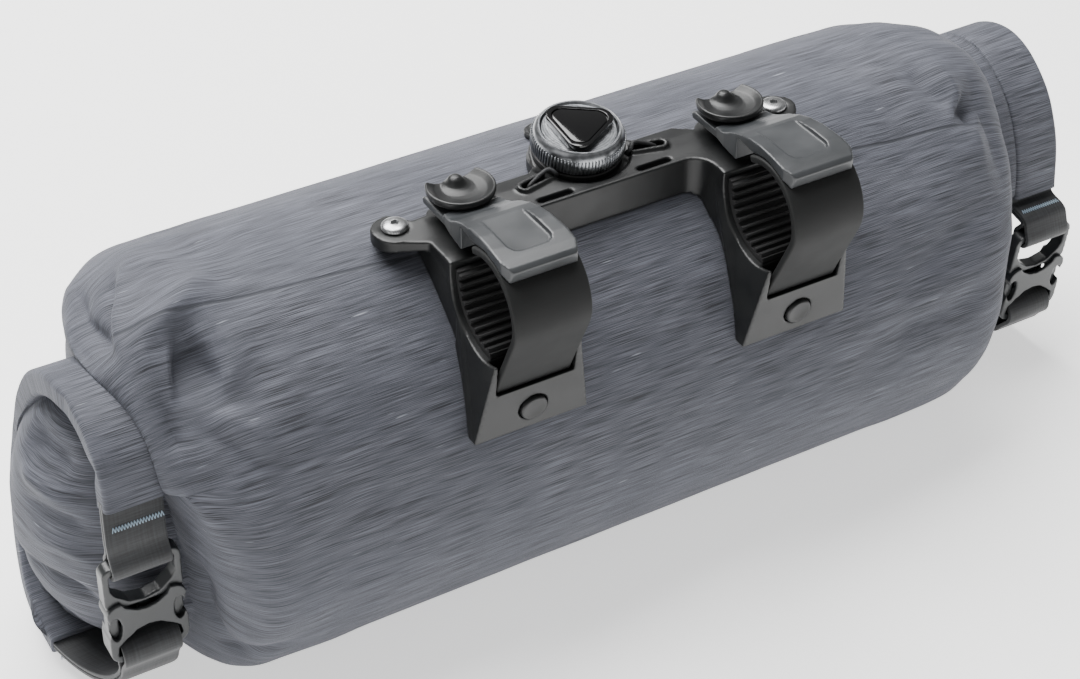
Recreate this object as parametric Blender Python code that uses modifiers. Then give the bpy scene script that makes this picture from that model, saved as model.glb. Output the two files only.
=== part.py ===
# Bicycle handlebar bag: a roll-ended cloth tube under a moulded two-legged bar bracket.
# The tube's axis is X, the bracket faces -Y and the bag lies on its flattened underside.

import math

import bmesh
import bpy
from mathutils import Matrix, Vector

MM = 0.001

# Bag tube
BAG_RADIUS = 75 * MM
FABRIC_WALL = 1.5 * MM
CLEARANCE = 0.3 * MM
LOOP_POINTS = 48
OUTER_POINTS = 34
SEAM_STEP_DEG = 360 / LOOP_POINTS
TUBE_STATIONS = 2
DOME_STATIONS = 7
FLOOR_SHARE = 0.87
FOLD_TOP_DEG = 150.0

# Rolled closures and the ring that each one is bent into
ROLL_WIDTH = 20 * MM
ROLL_THICKNESS = 8.6 * MM
LIP_GAP = 5.2 * MM
RING_HALF_DEPTH = 45 * MM
RING_HALF_HEIGHT = 55 * MM

# Places of the two ends along the tube
LEFT_SHOULDER_X = 136 * MM
LEFT_DOME_LENGTH = 24.5 * MM
LEFT_NECK_LENGTH = 6.5 * MM
RIGHT_SHOULDER_X = 134 * MM
RIGHT_DOME_LENGTH = 47 * MM
RIGHT_NECK_LENGTH = 8 * MM
LEFT_PILLOW = 27 * MM
LEFT_SKEW = 16 * MM
PILLOW_CENTRE = (-0.2, -0.04)
PILLOW_HALF = (0.64, 0.78)

# Webbing and side-release buckles
WEBBING_WIDTH = 20 * MM
WEBBING_THICKNESS = 1.6 * MM
BUCKLE_WIDTH = 27 * MM
BUCKLE_LENGTH = 42 * MM
BUCKLE_THICKNESS = 8 * MM
BUCKLE_BAR = 3.2 * MM
BUCKLE_WALL = 1.5 * MM

# Handlebar clamp
BAR_DIAMETER = 31.8 * MM
BAR_FORWARD = 30.2 * MM
BAR_RISE = 13.2 * MM
LEG_SPACING = 103 * MM
LEG_WIDTH = 31 * MM
FOOT_WIDTH = 42 * MM
FOOT_DROP = 38 * MM
CRADLE_PAD = 3.8 * MM
PAD_RIB = 1.5 * MM
PAD_WIDTH = 27 * MM
PAD_RIBS = 6
STRAP_WIDTH = 27.5 * MM
STRAP_THICKNESS = 2.5 * MM
SEAT_DEG = 122.0
CRADLE_FROM_DEG = 5.0
CRADLE_TO_DEG = -105.0
NOTCH_DROP = 14.3 * MM
RIVET_DIAMETER = 12 * MM
RIVET_DROP = 29.2 * MM
RIVET_HEIGHT = 2.2 * MM

# Bridge, ears, screws
BRIDGE_FRONT = -3.3 * MM
BRIDGE_BACK = -22 * MM
EAR_REACH = 21.7 * MM
EAR_RADIUS = 8 * MM
SCREW_DIAMETER = 9 * MM
SCREW_HEIGHT = 1.4 * MM
SLOT_LENGTH = 13.3 * MM
SLOT_WIDTH = 2.2 * MM
SLOT_CENTRE = 19 * MM
GUIDE_HEIGHT = 1.2 * MM
GUIDE_WALL = 1.3 * MM
LACE_DIAMETER = 1.4 * MM

# Latch lever and hook
LEVER_WIDTH = 27 * MM
TONGUE_WIDTH = 22 * MM
HOOK_STEM_RADIUS = 5 * MM
HOOK_RADIUS = 11.5 * MM
HOOK_HEIGHT = 11.5 * MM
HOOK_SETBACK = 41 * MM
NUB_RADIUS = 2.6 * MM

# Dial
DIAL_RADIUS = 16.2 * MM
DIAL_HEIGHT = 12.6 * MM
DIAL_TILT_DEG = 8.0
DIAL_BACK = 24.8 * MM
DIAL_SIDES = 36
CORE_RADIUS = 5 * MM
CAP_REACH = 12.2 * MM

# Tube's cross-section, by angle from the back over the top: (angle in degrees, radius share)
SECTION = (
    (0.0, 1.0),
    (30.0, 0.987),
    (60.0, 0.993),
    (90.0, 1.053),
    (107.0, 1.087),
    (130.0, 1.053),
    (158.0, 1.035),
    (180.0, 1.02),
    (210.0, 1.01),
    (240.0, 1.01),
    (300.0, 1.0),
    (360.0, 1.0),
)

# Centre line of each rolled band, from its upper end over the top and back to its lower end:
# (share of RING_HALF_DEPTH, share of RING_HALF_HEIGHT, share of the end's skew along the tube)
LEFT_RING = (
    (-1.04, 0.56, 0.0),
    (-0.96, 0.84, 0.0),
    (-0.71, 1.0, 0.0),
    (-0.31, 1.02, 0.1),
    (0.09, 0.84, 0.15),
    (0.40, 0.53, 0.2),
    (0.64, 0.13, 0.25),
    (0.76, -0.29, 0.4),
    (0.62, -0.67, 0.65),
    (0.29, -0.91, 0.85),
    (-0.18, -1.0, 0.85),
)
RIGHT_RING = (
    (-0.58, 0.15, 0.0),
    (-0.51, 0.51, 0.0),
    (-0.29, 0.84, 0.0),
    (0.11, 1.02, 0.0),
    (0.53, 0.91, 0.0),
    (0.80, 0.58, 0.0),
    (0.89, 0.15, 0.0),
    (0.80, -0.33, 0.0),
    (0.53, -0.69, 0.0),
    (0.13, -0.89, 0.0),
    (-0.18, -0.95, 0.0),
)

# Main dents, folds and ridges of each end: (side, loop point, half width in loop points, stage,
# half length in stages, depth share). A loop point counts from the upper fold, a stage is 0 at the
# shoulder and 1 at the neck, and a depth is a share of BAG_RADIUS, inward
FOLDS = (
    (-1, 3.0, 1.4, 0.14, 0.20, 0.06),
    (-1, 0.5, 1.4, 0.40, 0.25, 0.05),
    (-1, 6.0, 1.4, 0.40, 0.35, -0.03),
    (-1, 9.0, 1.6, 0.75, 0.28, 0.09),
    (-1, 16.0, 1.8, 0.60, 0.35, 0.05),
    (-1, 22.0, 1.5, 0.60, 0.35, 0.05),
    (-1, 26.5, 1.2, 0.60, 0.35, 0.06),
    (-1, 41.0, 1.5, 0.45, 0.30, 0.04),
    (-1, 34.0, 1.4, 0.50, 0.30, 0.05),
    (1, 1.5, 1.4, 0.25, 0.20, 0.04),
    (1, 7.0, 1.4, 0.40, 0.30, -0.02),
    (1, 11.0, 1.6, 0.65, 0.30, 0.06),
    (1, 19.0, 1.8, 0.60, 0.35, 0.05),
    (1, 25.0, 1.4, 0.60, 0.35, 0.05),
    (1, 45.0, 1.5, 0.55, 0.30, 0.04),
    (1, 36.0, 1.6, 0.50, 0.30, 0.05),
)

COLLECTION_NAME = "handlebar_bag"
CUTTER_COLLECTION_NAME = "cutters"


def clear_scene():
    for obj in list(bpy.data.objects):
        bpy.data.objects.remove(obj, do_unlink=True)


def new_collection(name):
    collection = bpy.data.collections.new(name)
    bpy.context.scene.collection.children.link(collection)
    return collection


def make_material(name, colour, roughness, metallic=0.0):
    material = bpy.data.materials.new(name)
    material.use_nodes = True
    shader = material.node_tree.nodes["Principled BSDF"]
    shader.inputs["Base Color"].default_value = (*colour, 1.0)
    shader.inputs["Roughness"].default_value = roughness
    shader.inputs["Metallic"].default_value = metallic
    return material


clear_scene()
PARTS = new_collection(COLLECTION_NAME)
CUTTERS = new_collection(CUTTER_COLLECTION_NAME)
FABRIC = make_material("coated_heather_fabric", (0.20, 0.22, 0.25), 0.7)
WEBBING = make_material("black_webbing", (0.03, 0.03, 0.035), 0.8)
NYLON = make_material("glass_filled_nylon", (0.035, 0.037, 0.038), 0.5)
RUBBER = make_material("black_rubber", (0.02, 0.02, 0.02), 0.75)
LEVER_GREY = make_material("grey_nylon", (0.09, 0.09, 0.09), 0.45)
BUCKLE_BLACK = make_material("black_acetal", (0.04, 0.04, 0.042), 0.4)
STEEL = make_material("stainless_steel", (0.55, 0.55, 0.55), 0.3, 1.0)
DIAL_GREY = make_material("gunmetal_dial", (0.32, 0.33, 0.34), 0.3, 0.6)
GLOSS_BLACK = make_material("gloss_black_cap", (0.01, 0.01, 0.01), 0.1)


def interpolate(rows, value):
    """Smoothly interpolated second column of a two-column table."""
    for (low, first), (high, second) in zip(rows, rows[1:]):
        if low <= value <= high:
            share = (value - low) / (high - low)
            eased = share * share * (3 - 2 * share)
            return first + (second - first) * eased
    return rows[-1][1]


def floor_height():
    return -FLOOR_SHARE * BAG_RADIUS


def section_point(angle_deg, grow=0.0):
    """Point (y, z) of the tube's section, flattened where the bag lies on the ground."""
    radius = interpolate(SECTION, angle_deg % 360.0) * BAG_RADIUS + grow
    angle = math.radians(angle_deg)
    height = max(radius * math.sin(angle), floor_height() - grow)
    return Vector((radius * math.cos(angle), height))


def place_object(name, mesh, material, collection=None):
    obj = bpy.data.objects.new(name, mesh)
    (collection or PARTS).objects.link(obj)
    if material:
        mesh.materials.clear()
        mesh.materials.append(material)
    if collection is CUTTERS:
        obj.hide_render = True
        obj.display_type = "WIRE"
    return obj


def smooth(obj, angle_deg=35.0):
    obj.data.shade_smooth()
    obj.data.set_sharp_from_angle(angle=math.radians(angle_deg))


def loft(name, loops, material, collection=None, capped=True):
    """Skin through closed loops of equal point counts, its faces pointing outward."""
    mesh = bpy.data.meshes.new(name)
    surface = bmesh.new()
    rings = [[surface.verts.new(point) for point in loop] for loop in loops]
    for first, second in zip(rings, rings[1:]):
        for here in range(len(first)):
            after = (here + 1) % len(first)
            surface.faces.new((first[here], first[after], second[after], second[here]))
    if capped:
        surface.faces.new(rings[0])
        surface.faces.new(rings[-1])
    bmesh.ops.recalc_face_normals(surface, faces=surface.faces)
    surface.to_mesh(mesh)
    surface.free()
    return place_object(name, mesh, material, collection)


def baked_mesh(obj, name):
    """Plain welded mesh of a curve or modified object, in world space; the object is removed."""
    bpy.context.view_layer.update()
    evaluated = obj.evaluated_get(bpy.context.evaluated_depsgraph_get())
    mesh = bpy.data.meshes.new_from_object(evaluated)
    mesh.name = name
    mesh.transform(obj.matrix_world)
    welded = bmesh.new()
    welded.from_mesh(mesh)
    bmesh.ops.remove_doubles(welded, verts=welded.verts, dist=0.01 * MM)
    bmesh.ops.recalc_face_normals(welded, faces=welded.faces)
    welded.to_mesh(mesh)
    welded.free()
    bpy.data.objects.remove(obj, do_unlink=True)
    return mesh


def prism(name, outline, half_thickness, frame, material=None, collection=None):
    """Flat outline, thickened both ways along the frame's third axis."""
    curve = bpy.data.curves.new(name + "_outline", "CURVE")
    curve.dimensions = "2D"
    curve.fill_mode = "BOTH"
    curve.extrude = half_thickness
    spline = curve.splines.new("POLY")
    spline.points.add(len(outline) - 1)
    for point, (across, up) in zip(spline.points, outline):
        point.co = (across, up, 0.0, 1.0)
    spline.use_cyclic_u = True
    guide = bpy.data.objects.new(name + "_outline", curve)
    PARTS.objects.link(guide)
    guide.matrix_world = frame
    return place_object(name, baked_mesh(guide, name), material, collection)


def side_frame(x):
    """Frame whose plane is YZ at x, with its thickness along X."""
    return Matrix(((0, 0, 1, x), (1, 0, 0, 0), (0, 1, 0, 0), (0, 0, 0, 1)))


def axis_frame(origin, across, up):
    """Frame with the given origin, first axis and second axis; the third follows."""
    across = Vector(across).normalized()
    third = across.cross(Vector(up)).normalized()
    second = third.cross(across)
    columns = Matrix((across, second, third)).transposed()
    return Matrix.Translation(Vector(origin)) @ columns.to_4x4()


def turned(name, profile, frame, sides, material=None, collection=None):
    """Solid turned about the frame's third axis from (radius, height) points, top to bottom."""
    mesh = bpy.data.meshes.new(name + "_profile")
    edges = [(here, here + 1) for here in range(len(profile) - 1)]
    mesh.from_pydata([(radius, 0.0, height) for radius, height in profile], edges, [])
    guide = bpy.data.objects.new(name + "_profile", mesh)
    PARTS.objects.link(guide)
    guide.matrix_world = frame
    screw = guide.modifiers.new("turn", "SCREW")
    screw.steps = sides
    screw.render_steps = sides
    screw.use_merge_vertices = True
    screw.merge_threshold = 0.05 * MM
    return place_object(name, baked_mesh(guide, name), material, collection)


def combine(obj, other, operation, solver="EXACT"):
    step = obj.modifiers.new(operation.lower() + "_" + other.name, "BOOLEAN")
    step.operation = operation
    step.solver = solver
    step.object = other
    return obj


def bevelled(obj, width):
    bevel = obj.modifiers.new("rounded_edges", "BEVEL")
    bevel.width = width
    bevel.segments = 1
    bevel.limit_method = "ANGLE"
    bevel.angle_limit = math.radians(40)
    return obj


def arc(centre, radius, from_deg, to_deg, steps):
    points = []
    for step in range(steps + 1):
        angle = math.radians(from_deg + (to_deg - from_deg) * step / steps)
        points.append((centre[0] + radius * math.cos(angle), centre[1] + radius * math.sin(angle)))
    return points


def ribbon_outline(path, thickness):
    """Closed outline of a band that follows a centre line of (y, z) points."""
    left = []
    right = []
    for here, point in enumerate(path):
        before = Vector(path[max(here - 1, 0)])
        after = Vector(path[min(here + 1, len(path) - 1)])
        along = (after - before).normalized()
        across = Vector((-along.y, along.x)) * thickness / 2
        left.append(tuple(Vector(point) + across))
        right.append(tuple(Vector(point) - across))
    return left + right[::-1]


def spline_point(rows, share):
    """Point at a share of the way along a smooth curve through all rows."""
    last = len(rows) - 1
    here = min(int(share * last), last - 1)
    local = share * last - here
    before, first, second, after = (rows[min(max(here + step, 0), last)] for step in (-1, 0, 1, 2))
    point = []
    for a, b, c, d in zip(before, first, second, after):
        slope_in = (c - a) / 2
        slope_out = (d - b) / 2
        rest = 1 - local
        point.append(
            b * rest * rest * (1 + 2 * local) + c * local * local * (3 - 2 * local)
            + slope_in * local * rest * rest - slope_out * local * local * rest)
    return point


class End:
    """One end of the bag: its shoulder, mouth, rolled band and buckle."""

    def __init__(self, name, side, ring, lengths, squareness, pillow, skew, buckle_top,
                 buckle_lean_deg):
        self.name = name
        self.side = side
        self.ring = ring
        self.shoulder, self.dome, self.neck = lengths
        self.squareness = squareness
        self.pillow = pillow
        self.skew = skew
        self.buckle_top = buckle_top
        self.buckle_lean_deg = buckle_lean_deg

    def skew_at(self, share):
        return self.skew * spline_point(self.ring, share)[2]

    def ring_x(self, share):
        front = self.shoulder + self.dome + self.neck + CLEARANCE + ROLL_WIDTH / 2
        return self.side * (front + self.skew_at(share))

    def ring_centre(self, share):
        depth, height, _ = spline_point(self.ring, share)
        return Vector((RING_HALF_DEPTH * depth, RING_HALF_HEIGHT * height))

    def ring_along(self, share):
        step = 0.004
        ahead = self.ring_centre(min(share + step, 1.0))
        return (ahead - self.ring_centre(max(share - step, 0.0))).normalized()

    def ring_point(self, share, outward=0.0):
        """Point (y, z) of the band's centre line, moved outward by the given distance."""
        along = self.ring_along(share)
        return self.ring_centre(share) + Vector((-along.y, along.x)) * outward

    def mouth_point(self, loop_point):
        """Mouth place for a loop point: its share along the band and outward lip offset."""
        lip = LIP_GAP / 2 + FABRIC_WALL
        if loop_point <= OUTER_POINTS:
            return loop_point / OUTER_POINTS, lip
        return (LOOP_POINTS - loop_point) / (LOOP_POINTS - OUTER_POINTS), -lip

    def pillow_share(self, place):
        """Share of the full bulge of the cloth inside the ring, at a place (y, z)."""
        across = (place.x / RING_HALF_DEPTH - PILLOW_CENTRE[0]) / PILLOW_HALF[0]
        up = (place.y / RING_HALF_HEIGHT - PILLOW_CENTRE[1]) / PILLOW_HALF[1]
        return max(1 - across * across - up * up, 0.0)

    def loop(self, stage):
        """Loop of the shell: stage 0 is the shoulder, 1 the neck's root and 2 the mouth."""
        points = []
        dome_stage = min(stage, 1.0)
        inward = 1 - math.cos(dome_stage * math.pi / 2)
        outward = math.sin(dome_stage * math.pi / 2) ** self.squareness
        hold = min((1 - dome_stage) * 4, 1.0)
        for loop_point in range(LOOP_POINTS):
            tube = section_point(FOLD_TOP_DEG - SEAM_STEP_DEG * loop_point)
            share, lip = self.mouth_point(loop_point)
            place = tube.lerp(self.ring_point(share, lip), inward)
            reach = self.shoulder + self.dome * outward + self.skew_at(share) * inward ** 2
            reach += self.neck * max(stage - 1.0, 0.0)
            if loop_point > OUTER_POINTS:
                reach += self.pillow * self.pillow_share(place)
            for side, centre, half_points, fold_stage, half_stage, depth in FOLDS:
                if side == self.side:
                    gap = (loop_point - centre + LOOP_POINTS / 2) % LOOP_POINTS - LOOP_POINTS / 2
                    away = (gap / half_points) ** 2 + ((dome_stage - fold_stage) / half_stage) ** 2
                    place = place * (1 - depth * hold * math.exp(-away))
            place.y = max(place.y, floor_height())
            points.append(Vector((self.side * reach, place.x, place.y)))
        return points


LEFT_END = End(
    "left", -1, LEFT_RING, (LEFT_SHOULDER_X, LEFT_DOME_LENGTH, LEFT_NECK_LENGTH),
    0.6, LEFT_PILLOW, LEFT_SKEW, (-1.11, 0.2), 4.0)
RIGHT_END = End(
    "right", 1, RIGHT_RING, (RIGHT_SHOULDER_X, RIGHT_DOME_LENGTH, RIGHT_NECK_LENGTH),
    0.8, 0.0, 0.0, (-0.8, -0.06), 7.0)


def make_bag_body():
    loops = [LEFT_END.loop(2.0)]
    loops += [LEFT_END.loop(1.0 - step / DOME_STATIONS) for step in range(DOME_STATIONS)]
    for step in range(TUBE_STATIONS + 1):
        x = -LEFT_SHOULDER_X + (LEFT_SHOULDER_X + RIGHT_SHOULDER_X) * step / TUBE_STATIONS
        loop = []
        for loop_point in range(LOOP_POINTS):
            y, z = section_point(FOLD_TOP_DEG - SEAM_STEP_DEG * loop_point)
            loop.append(Vector((x, y, z)))
        loops.append(loop)
    loops += [RIGHT_END.loop((step + 1) / DOME_STATIONS) for step in range(DOME_STATIONS)]
    loops.append(RIGHT_END.loop(2.0))
    body = loft("bag_body", loops, FABRIC, capped=False)
    wall = body.modifiers.new("cloth_wall", "SOLIDIFY")
    wall.thickness = FABRIC_WALL
    wall.offset = -1.0
    wall.use_even_offset = False
    smooth(body, 50.0)
    return body


def roll_section(end, share):
    """Rounded rectangle across the rolled band at one place on the ring."""
    half_width = ROLL_WIDTH / 2
    half_thickness = ROLL_THICKNESS / 2
    corner = half_thickness * 0.45
    shape = (
        (-half_width, -half_thickness + corner),
        (-half_width + corner, -half_thickness),
        (half_width - corner, -half_thickness),
        (half_width, -half_thickness + corner),
        (half_width, half_thickness - corner),
        (half_width - corner, half_thickness),
        (-half_width + corner, half_thickness),
        (-half_width, half_thickness - corner),
    )
    points = []
    for along_x, outward in shape:
        y, z = end.ring_point(share, outward)
        points.append(Vector((end.ring_x(share) + along_x, y, z)))
    return points


def make_roll(end):
    stations = LOOP_POINTS // 2
    loops = [roll_section(end, step / stations) for step in range(stations + 1)]
    roll = loft("roll_" + end.name, loops, FABRIC)
    smooth(roll)
    return roll


def buckle_frame(end):
    """Frame of a fastened buckle: across is X, up runs to the male bar, out is the third axis."""
    depth_share, height_share = end.buckle_top
    top = Vector((RING_HALF_DEPTH * depth_share, RING_HALF_HEIGHT * height_share))
    lean = math.radians(end.buckle_lean_deg)
    up = Vector((-math.sin(lean), math.cos(lean)))
    centre = top - up * BUCKLE_LENGTH / 2
    x = end.ring_x(0.0) + end.side * end.skew * 0.1
    return axis_frame((x, centre.x, centre.y), (1, 0, 0), (0, up.x, up.y))


def rounded_box_outline(half_width, low, high, corner):
    points = arc((half_width - corner, high - corner), corner, 0, 90, 3)
    points += arc((-half_width + corner, high - corner), corner, 90, 180, 3)
    points += arc((-half_width + corner, low + corner), corner, 180, 270, 3)
    points += arc((half_width - corner, low + corner), corner, 270, 360, 3)
    return points


def make_buckle(end):
    """Side-release buckle: a hollow female body and a male plate with three prongs."""
    frame = buckle_frame(end)
    half_width = BUCKLE_WIDTH / 2
    half_length = BUCKLE_LENGTH / 2
    half_slot = WEBBING_WIDTH / 2 + 4 * CLEARANCE
    eye = BUCKLE_BAR + 2.5 * WEBBING_THICKNESS
    mouth = half_length * 0.24
    female = prism(
        "buckle_female_" + end.name,
        rounded_box_outline(half_width, -half_length, mouth, BUCKLE_WIDTH * 0.14),
        BUCKLE_THICKNESS / 2, frame, BUCKLE_BLACK)
    pocket_half = BUCKLE_THICKNESS / 2 - BUCKLE_WALL
    pocket_low = -half_length + BUCKLE_BAR + eye + BUCKLE_WALL
    pocket = prism(
        "cut_pocket_" + end.name,
        [(-half_width + BUCKLE_WALL, pocket_low), (half_width - BUCKLE_WALL, pocket_low),
         (half_width - BUCKLE_WALL, half_length), (-half_width + BUCKLE_WALL, half_length)],
        pocket_half, frame, collection=CUTTERS)
    combine(female, pocket, "DIFFERENCE")
    for side, label in ((-1, "a"), (1, "b")):
        window = prism(
            "cut_window_%s_%s" % (label, end.name),
            [(side * (half_width + BUCKLE_WALL), pocket_low + BUCKLE_WALL),
             (side * (half_width + BUCKLE_WALL), mouth - 3 * BUCKLE_WALL),
             (side * (half_width - 3.5 * BUCKLE_WALL), mouth - 4.5 * BUCKLE_WALL),
             (side * (half_width - 3.5 * BUCKLE_WALL), pocket_low + 2.5 * BUCKLE_WALL)],
            BUCKLE_THICKNESS, frame, collection=CUTTERS)
        combine(female, window, "DIFFERENCE")
    female_slot = prism(
        "cut_female_slot_" + end.name,
        rounded_box_outline(half_slot, -half_length + BUCKLE_BAR, -half_length + BUCKLE_BAR + eye, MM),
        BUCKLE_THICKNESS, frame, collection=CUTTERS)
    combine(female, female_slot, "DIFFERENCE")

    plate_half = pocket_half - CLEARANCE
    arm_half = half_width - BUCKLE_WALL - CLEARANCE
    arm_width = BUCKLE_WIDTH * 0.13
    tip = pocket_low + CLEARANCE + BUCKLE_WALL
    shoulder = mouth + CLEARANCE
    outline = [
        (half_width, half_length - 1.5 * MM), (half_width - 1.5 * MM, half_length),
        (-half_width + 1.5 * MM, half_length), (-half_width, half_length - 1.5 * MM),
        (-half_width, shoulder), (-arm_half + arm_width * 0.5, shoulder),
        (-arm_half, shoulder - 4 * BUCKLE_WALL), (-arm_half, tip + arm_width),
        (-arm_half + arm_width, tip), (-arm_half + arm_width * 1.3, shoulder - 2 * BUCKLE_WALL),
        (-arm_width * 0.8, shoulder - 2 * BUCKLE_WALL), (-arm_width * 0.6, tip + arm_width),
        (arm_width * 0.6, tip + arm_width), (arm_width * 0.8, shoulder - 2 * BUCKLE_WALL),
        (arm_half - arm_width * 1.3, shoulder - 2 * BUCKLE_WALL), (arm_half - arm_width, tip),
        (arm_half, tip + arm_width), (arm_half, shoulder - 4 * BUCKLE_WALL),
        (arm_half - arm_width * 0.5, shoulder), (half_width, shoulder),
    ]
    male = prism("buckle_male_" + end.name, outline, plate_half, frame, BUCKLE_BLACK)
    male_slot = prism(
        "cut_male_slot_" + end.name,
        rounded_box_outline(half_slot, half_length - BUCKLE_BAR - eye, half_length - BUCKLE_BAR, MM),
        BUCKLE_THICKNESS, frame, collection=CUTTERS)
    combine(male, male_slot, "DIFFERENCE", "MANIFOLD")
    return frame


def make_webbing(end, frame):
    """The two sewn webbing tabs that join the roll's ends to the buckle's bars."""
    bar_reach = BUCKLE_LENGTH / 2 - BUCKLE_BAR / 2
    plate = BUCKLE_THICKNESS - 2 * BUCKLE_WALL - 2 * CLEARANCE
    for label, sign, depth in (("upper", 1, plate), ("lower", -1, BUCKLE_THICKNESS)):
        bar = frame @ Vector((0.0, sign * bar_reach, 0.0))
        out = frame.to_3x3() @ Vector((0.0, sign, 0.0))
        radius = math.hypot(BUCKLE_BAR, depth) / 2 + CLEARANCE
        make_tab(end, label, bar, Vector((out.y, out.z)).normalized(), radius)


def make_tab(end, label, bar, toward, radius):
    """One tab: an eye round the buckle's bar, then two plies that run to the roll's end."""
    share, sign = (0.0, -1) if label == "upper" else (1.0, 1)
    centre = Vector((bar.y, bar.z))
    side = Vector((-toward.y, toward.x))
    root_along = end.ring_along(share) * sign
    root = end.ring_point(share) + root_along * CLEARANCE
    start = root + root_along * WEBBING_THICKNESS
    eye_exit = centre + toward * (radius + 1.6 * WEBBING_THICKNESS)
    span = (eye_exit - start).length
    handle_a = start + root_along * span * 0.4
    handle_b = eye_exit + toward * span * 0.3
    route = [tuple(root)]
    for step in range(7):
        on = step / 6
        back = 1 - on
        point = (start * back ** 3 + handle_a * (3 * back * back * on)
                 + handle_b * (3 * back * on * on) + eye_exit * on ** 3)
        route.append(tuple(point))
    flat = [Vector(point) for point in ribbon_outline(route, 2.1 * WEBBING_THICKNESS)]
    first_side = flat[:len(route)]
    second_side = flat[len(route):]
    turn = []
    open_half_deg = 38
    for step in range(11):
        angle = math.radians(open_half_deg + (360 - 2 * open_half_deg) * step / 10)
        direction = toward * math.cos(angle) + side * math.sin(angle)
        turn.append(centre + direction * (radius + WEBBING_THICKNESS))
    if (first_side[-1] - turn[0]).length > (second_side[0] - turn[0]).length:
        turn.reverse()
    outline = [tuple(point) for point in first_side + turn + second_side]
    x = end.ring_x(share)
    name = "webbing_%s_%s" % (label, end.name)
    tab = prism(name, outline, WEBBING_WIDTH / 2, side_frame(x), WEBBING)
    for vertex in tab.data.vertices:
        near = (Vector((vertex.co.y, vertex.co.z)) - root).length
        shift = min(near / (span - 2 * WEBBING_THICKNESS), 1.0)
        vertex.co.x += (bar.x - x) * shift
    hole = prism(
        "cut_eye_%s_%s" % (label, end.name), arc(tuple(centre), radius, 0, 337.5, 15),
        WEBBING_WIDTH, side_frame(bar.x), collection=CUTTERS)
    combine(tab, hole, "DIFFERENCE")
    return tab


def seat_point():
    return section_point(SEAT_DEG)


def seated(forward, rise):
    """Point (y, z) given in front of and above the bracket's seat on the bag."""
    seat = seat_point()
    return seat.x - forward, seat.y + rise


def bar_centre():
    return seated(BAR_FORWARD, BAR_RISE)


def bag_cutter():
    """The bag's own section grown by the running clearance, along the whole bracket."""
    loops = []
    reach = LEG_SPACING
    for x in (-reach, reach):
        loop = []
        for step in range(LOOP_POINTS):
            y, z = section_point(FOLD_TOP_DEG - SEAM_STEP_DEG * step, CLEARANCE)
            loop.append(Vector((x, y, z)))
        loops.append(loop)
    return loft("cut_bag_seat", loops, None, CUTTERS)


# Top line of the bridge and ears in front of and above the seat, front to back
PLATE_TOP = (
    (14 * MM, 16.6 * MM),
    (7 * MM, 17.2 * MM),
    (-1.5 * MM, 17.0 * MM),
    (-6 * MM, 17.0 * MM),
    (-15.3 * MM, 18.0 * MM),
    (-26 * MM, 17.0 * MM),
    (-36 * MM, 15.6 * MM),
    (-46 * MM, 14.0 * MM),
    (-58 * MM, 12.6 * MM),
)


def plate_outline():
    """Plan of the bridge, ears and dial seat: the right half, mirrored to the left."""
    seat_y = seat_point().x
    leg = LEG_SPACING / 2
    half_leg = LEG_WIDTH / 2
    bridge_back = seat_y - BRIDGE_BACK
    front = seat_y - BRIDGE_FRONT
    ear_x = leg + EAR_REACH
    ear_y = seat_y + 15.3 * MM
    dial_y = seat_y + DIAL_BACK
    tail_y = dial_y + DIAL_RADIUS + 8 * MM
    right = arc((0.0, tail_y), EAR_RADIUS * 0.72, 90, 10, 4)
    right += [(EAR_RADIUS * 0.62, dial_y + DIAL_RADIUS)]
    right += arc((0.0, dial_y), DIAL_RADIUS + 0.8 * MM, 62, 0, 5)
    right += [(DIAL_RADIUS + 4 * MM, bridge_back)]
    right += [(leg - half_leg, bridge_back)]
    right += arc((leg, seat_y - BAR_FORWARD + HOOK_SETBACK), HOOK_RADIUS, 150, 30, 6)
    right += [(leg + half_leg, bridge_back - 6 * MM)]
    right += arc((ear_x, ear_y), EAR_RADIUS, 100, -80, 7)
    right += [(leg + half_leg, ear_y - 12 * MM), (leg + half_leg, seat_y - 11 * MM)]
    right += [(leg - half_leg, seat_y - 11 * MM)]
    fillet = 7 * MM
    right += arc((leg - half_leg - fillet, front - fillet), fillet, 0, 90, 4)
    left = [(-x, y) for x, y in right[::-1]]
    left = [point for point in left if abs(point[0]) > 0.01 * MM]
    return right + left


def make_plate():
    """Bridge, ears and leg tops between the curved top and the bag."""
    seat = seat_point()
    upper = prism(
        "bracket", plate_outline(), 60 * MM,
        Matrix.Translation((0, 0, seat.y)), NYLON)
    profile = [seated(forward, rise) for forward, rise in PLATE_TOP]
    profile += [seated(PLATE_TOP[-1][0], -20 * MM), seated(PLATE_TOP[0][0], -20 * MM)]
    slab = prism("cut_plate_slab", profile, LEG_SPACING, side_frame(0.0), collection=CUTTERS)
    combine(upper, slab, "INTERSECT")
    return upper


def leg_outline():
    """Side view of a leg: cradle round the bar above, and the foot's straight front below."""
    y, z = bar_centre()
    cradle = BAR_DIAMETER / 2 + CRADLE_PAD + 2 * CLEARANCE
    points = arc((y, z), cradle, CRADLE_FROM_DEG, CRADLE_TO_DEG, 12)
    points += [(y - 9.3 * MM, z - 17.0 * MM)]
    points += [(y - 4.3 * MM, z - 17.0 * MM - FOOT_DROP * 0.89)]
    points += [seated(12 * MM, -FOOT_DROP), seated(-4 * MM, -8 * MM)]
    points += [seated(-8 * MM, 16.9 * MM), seated(6 * MM, 17.1 * MM)]
    return points


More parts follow.
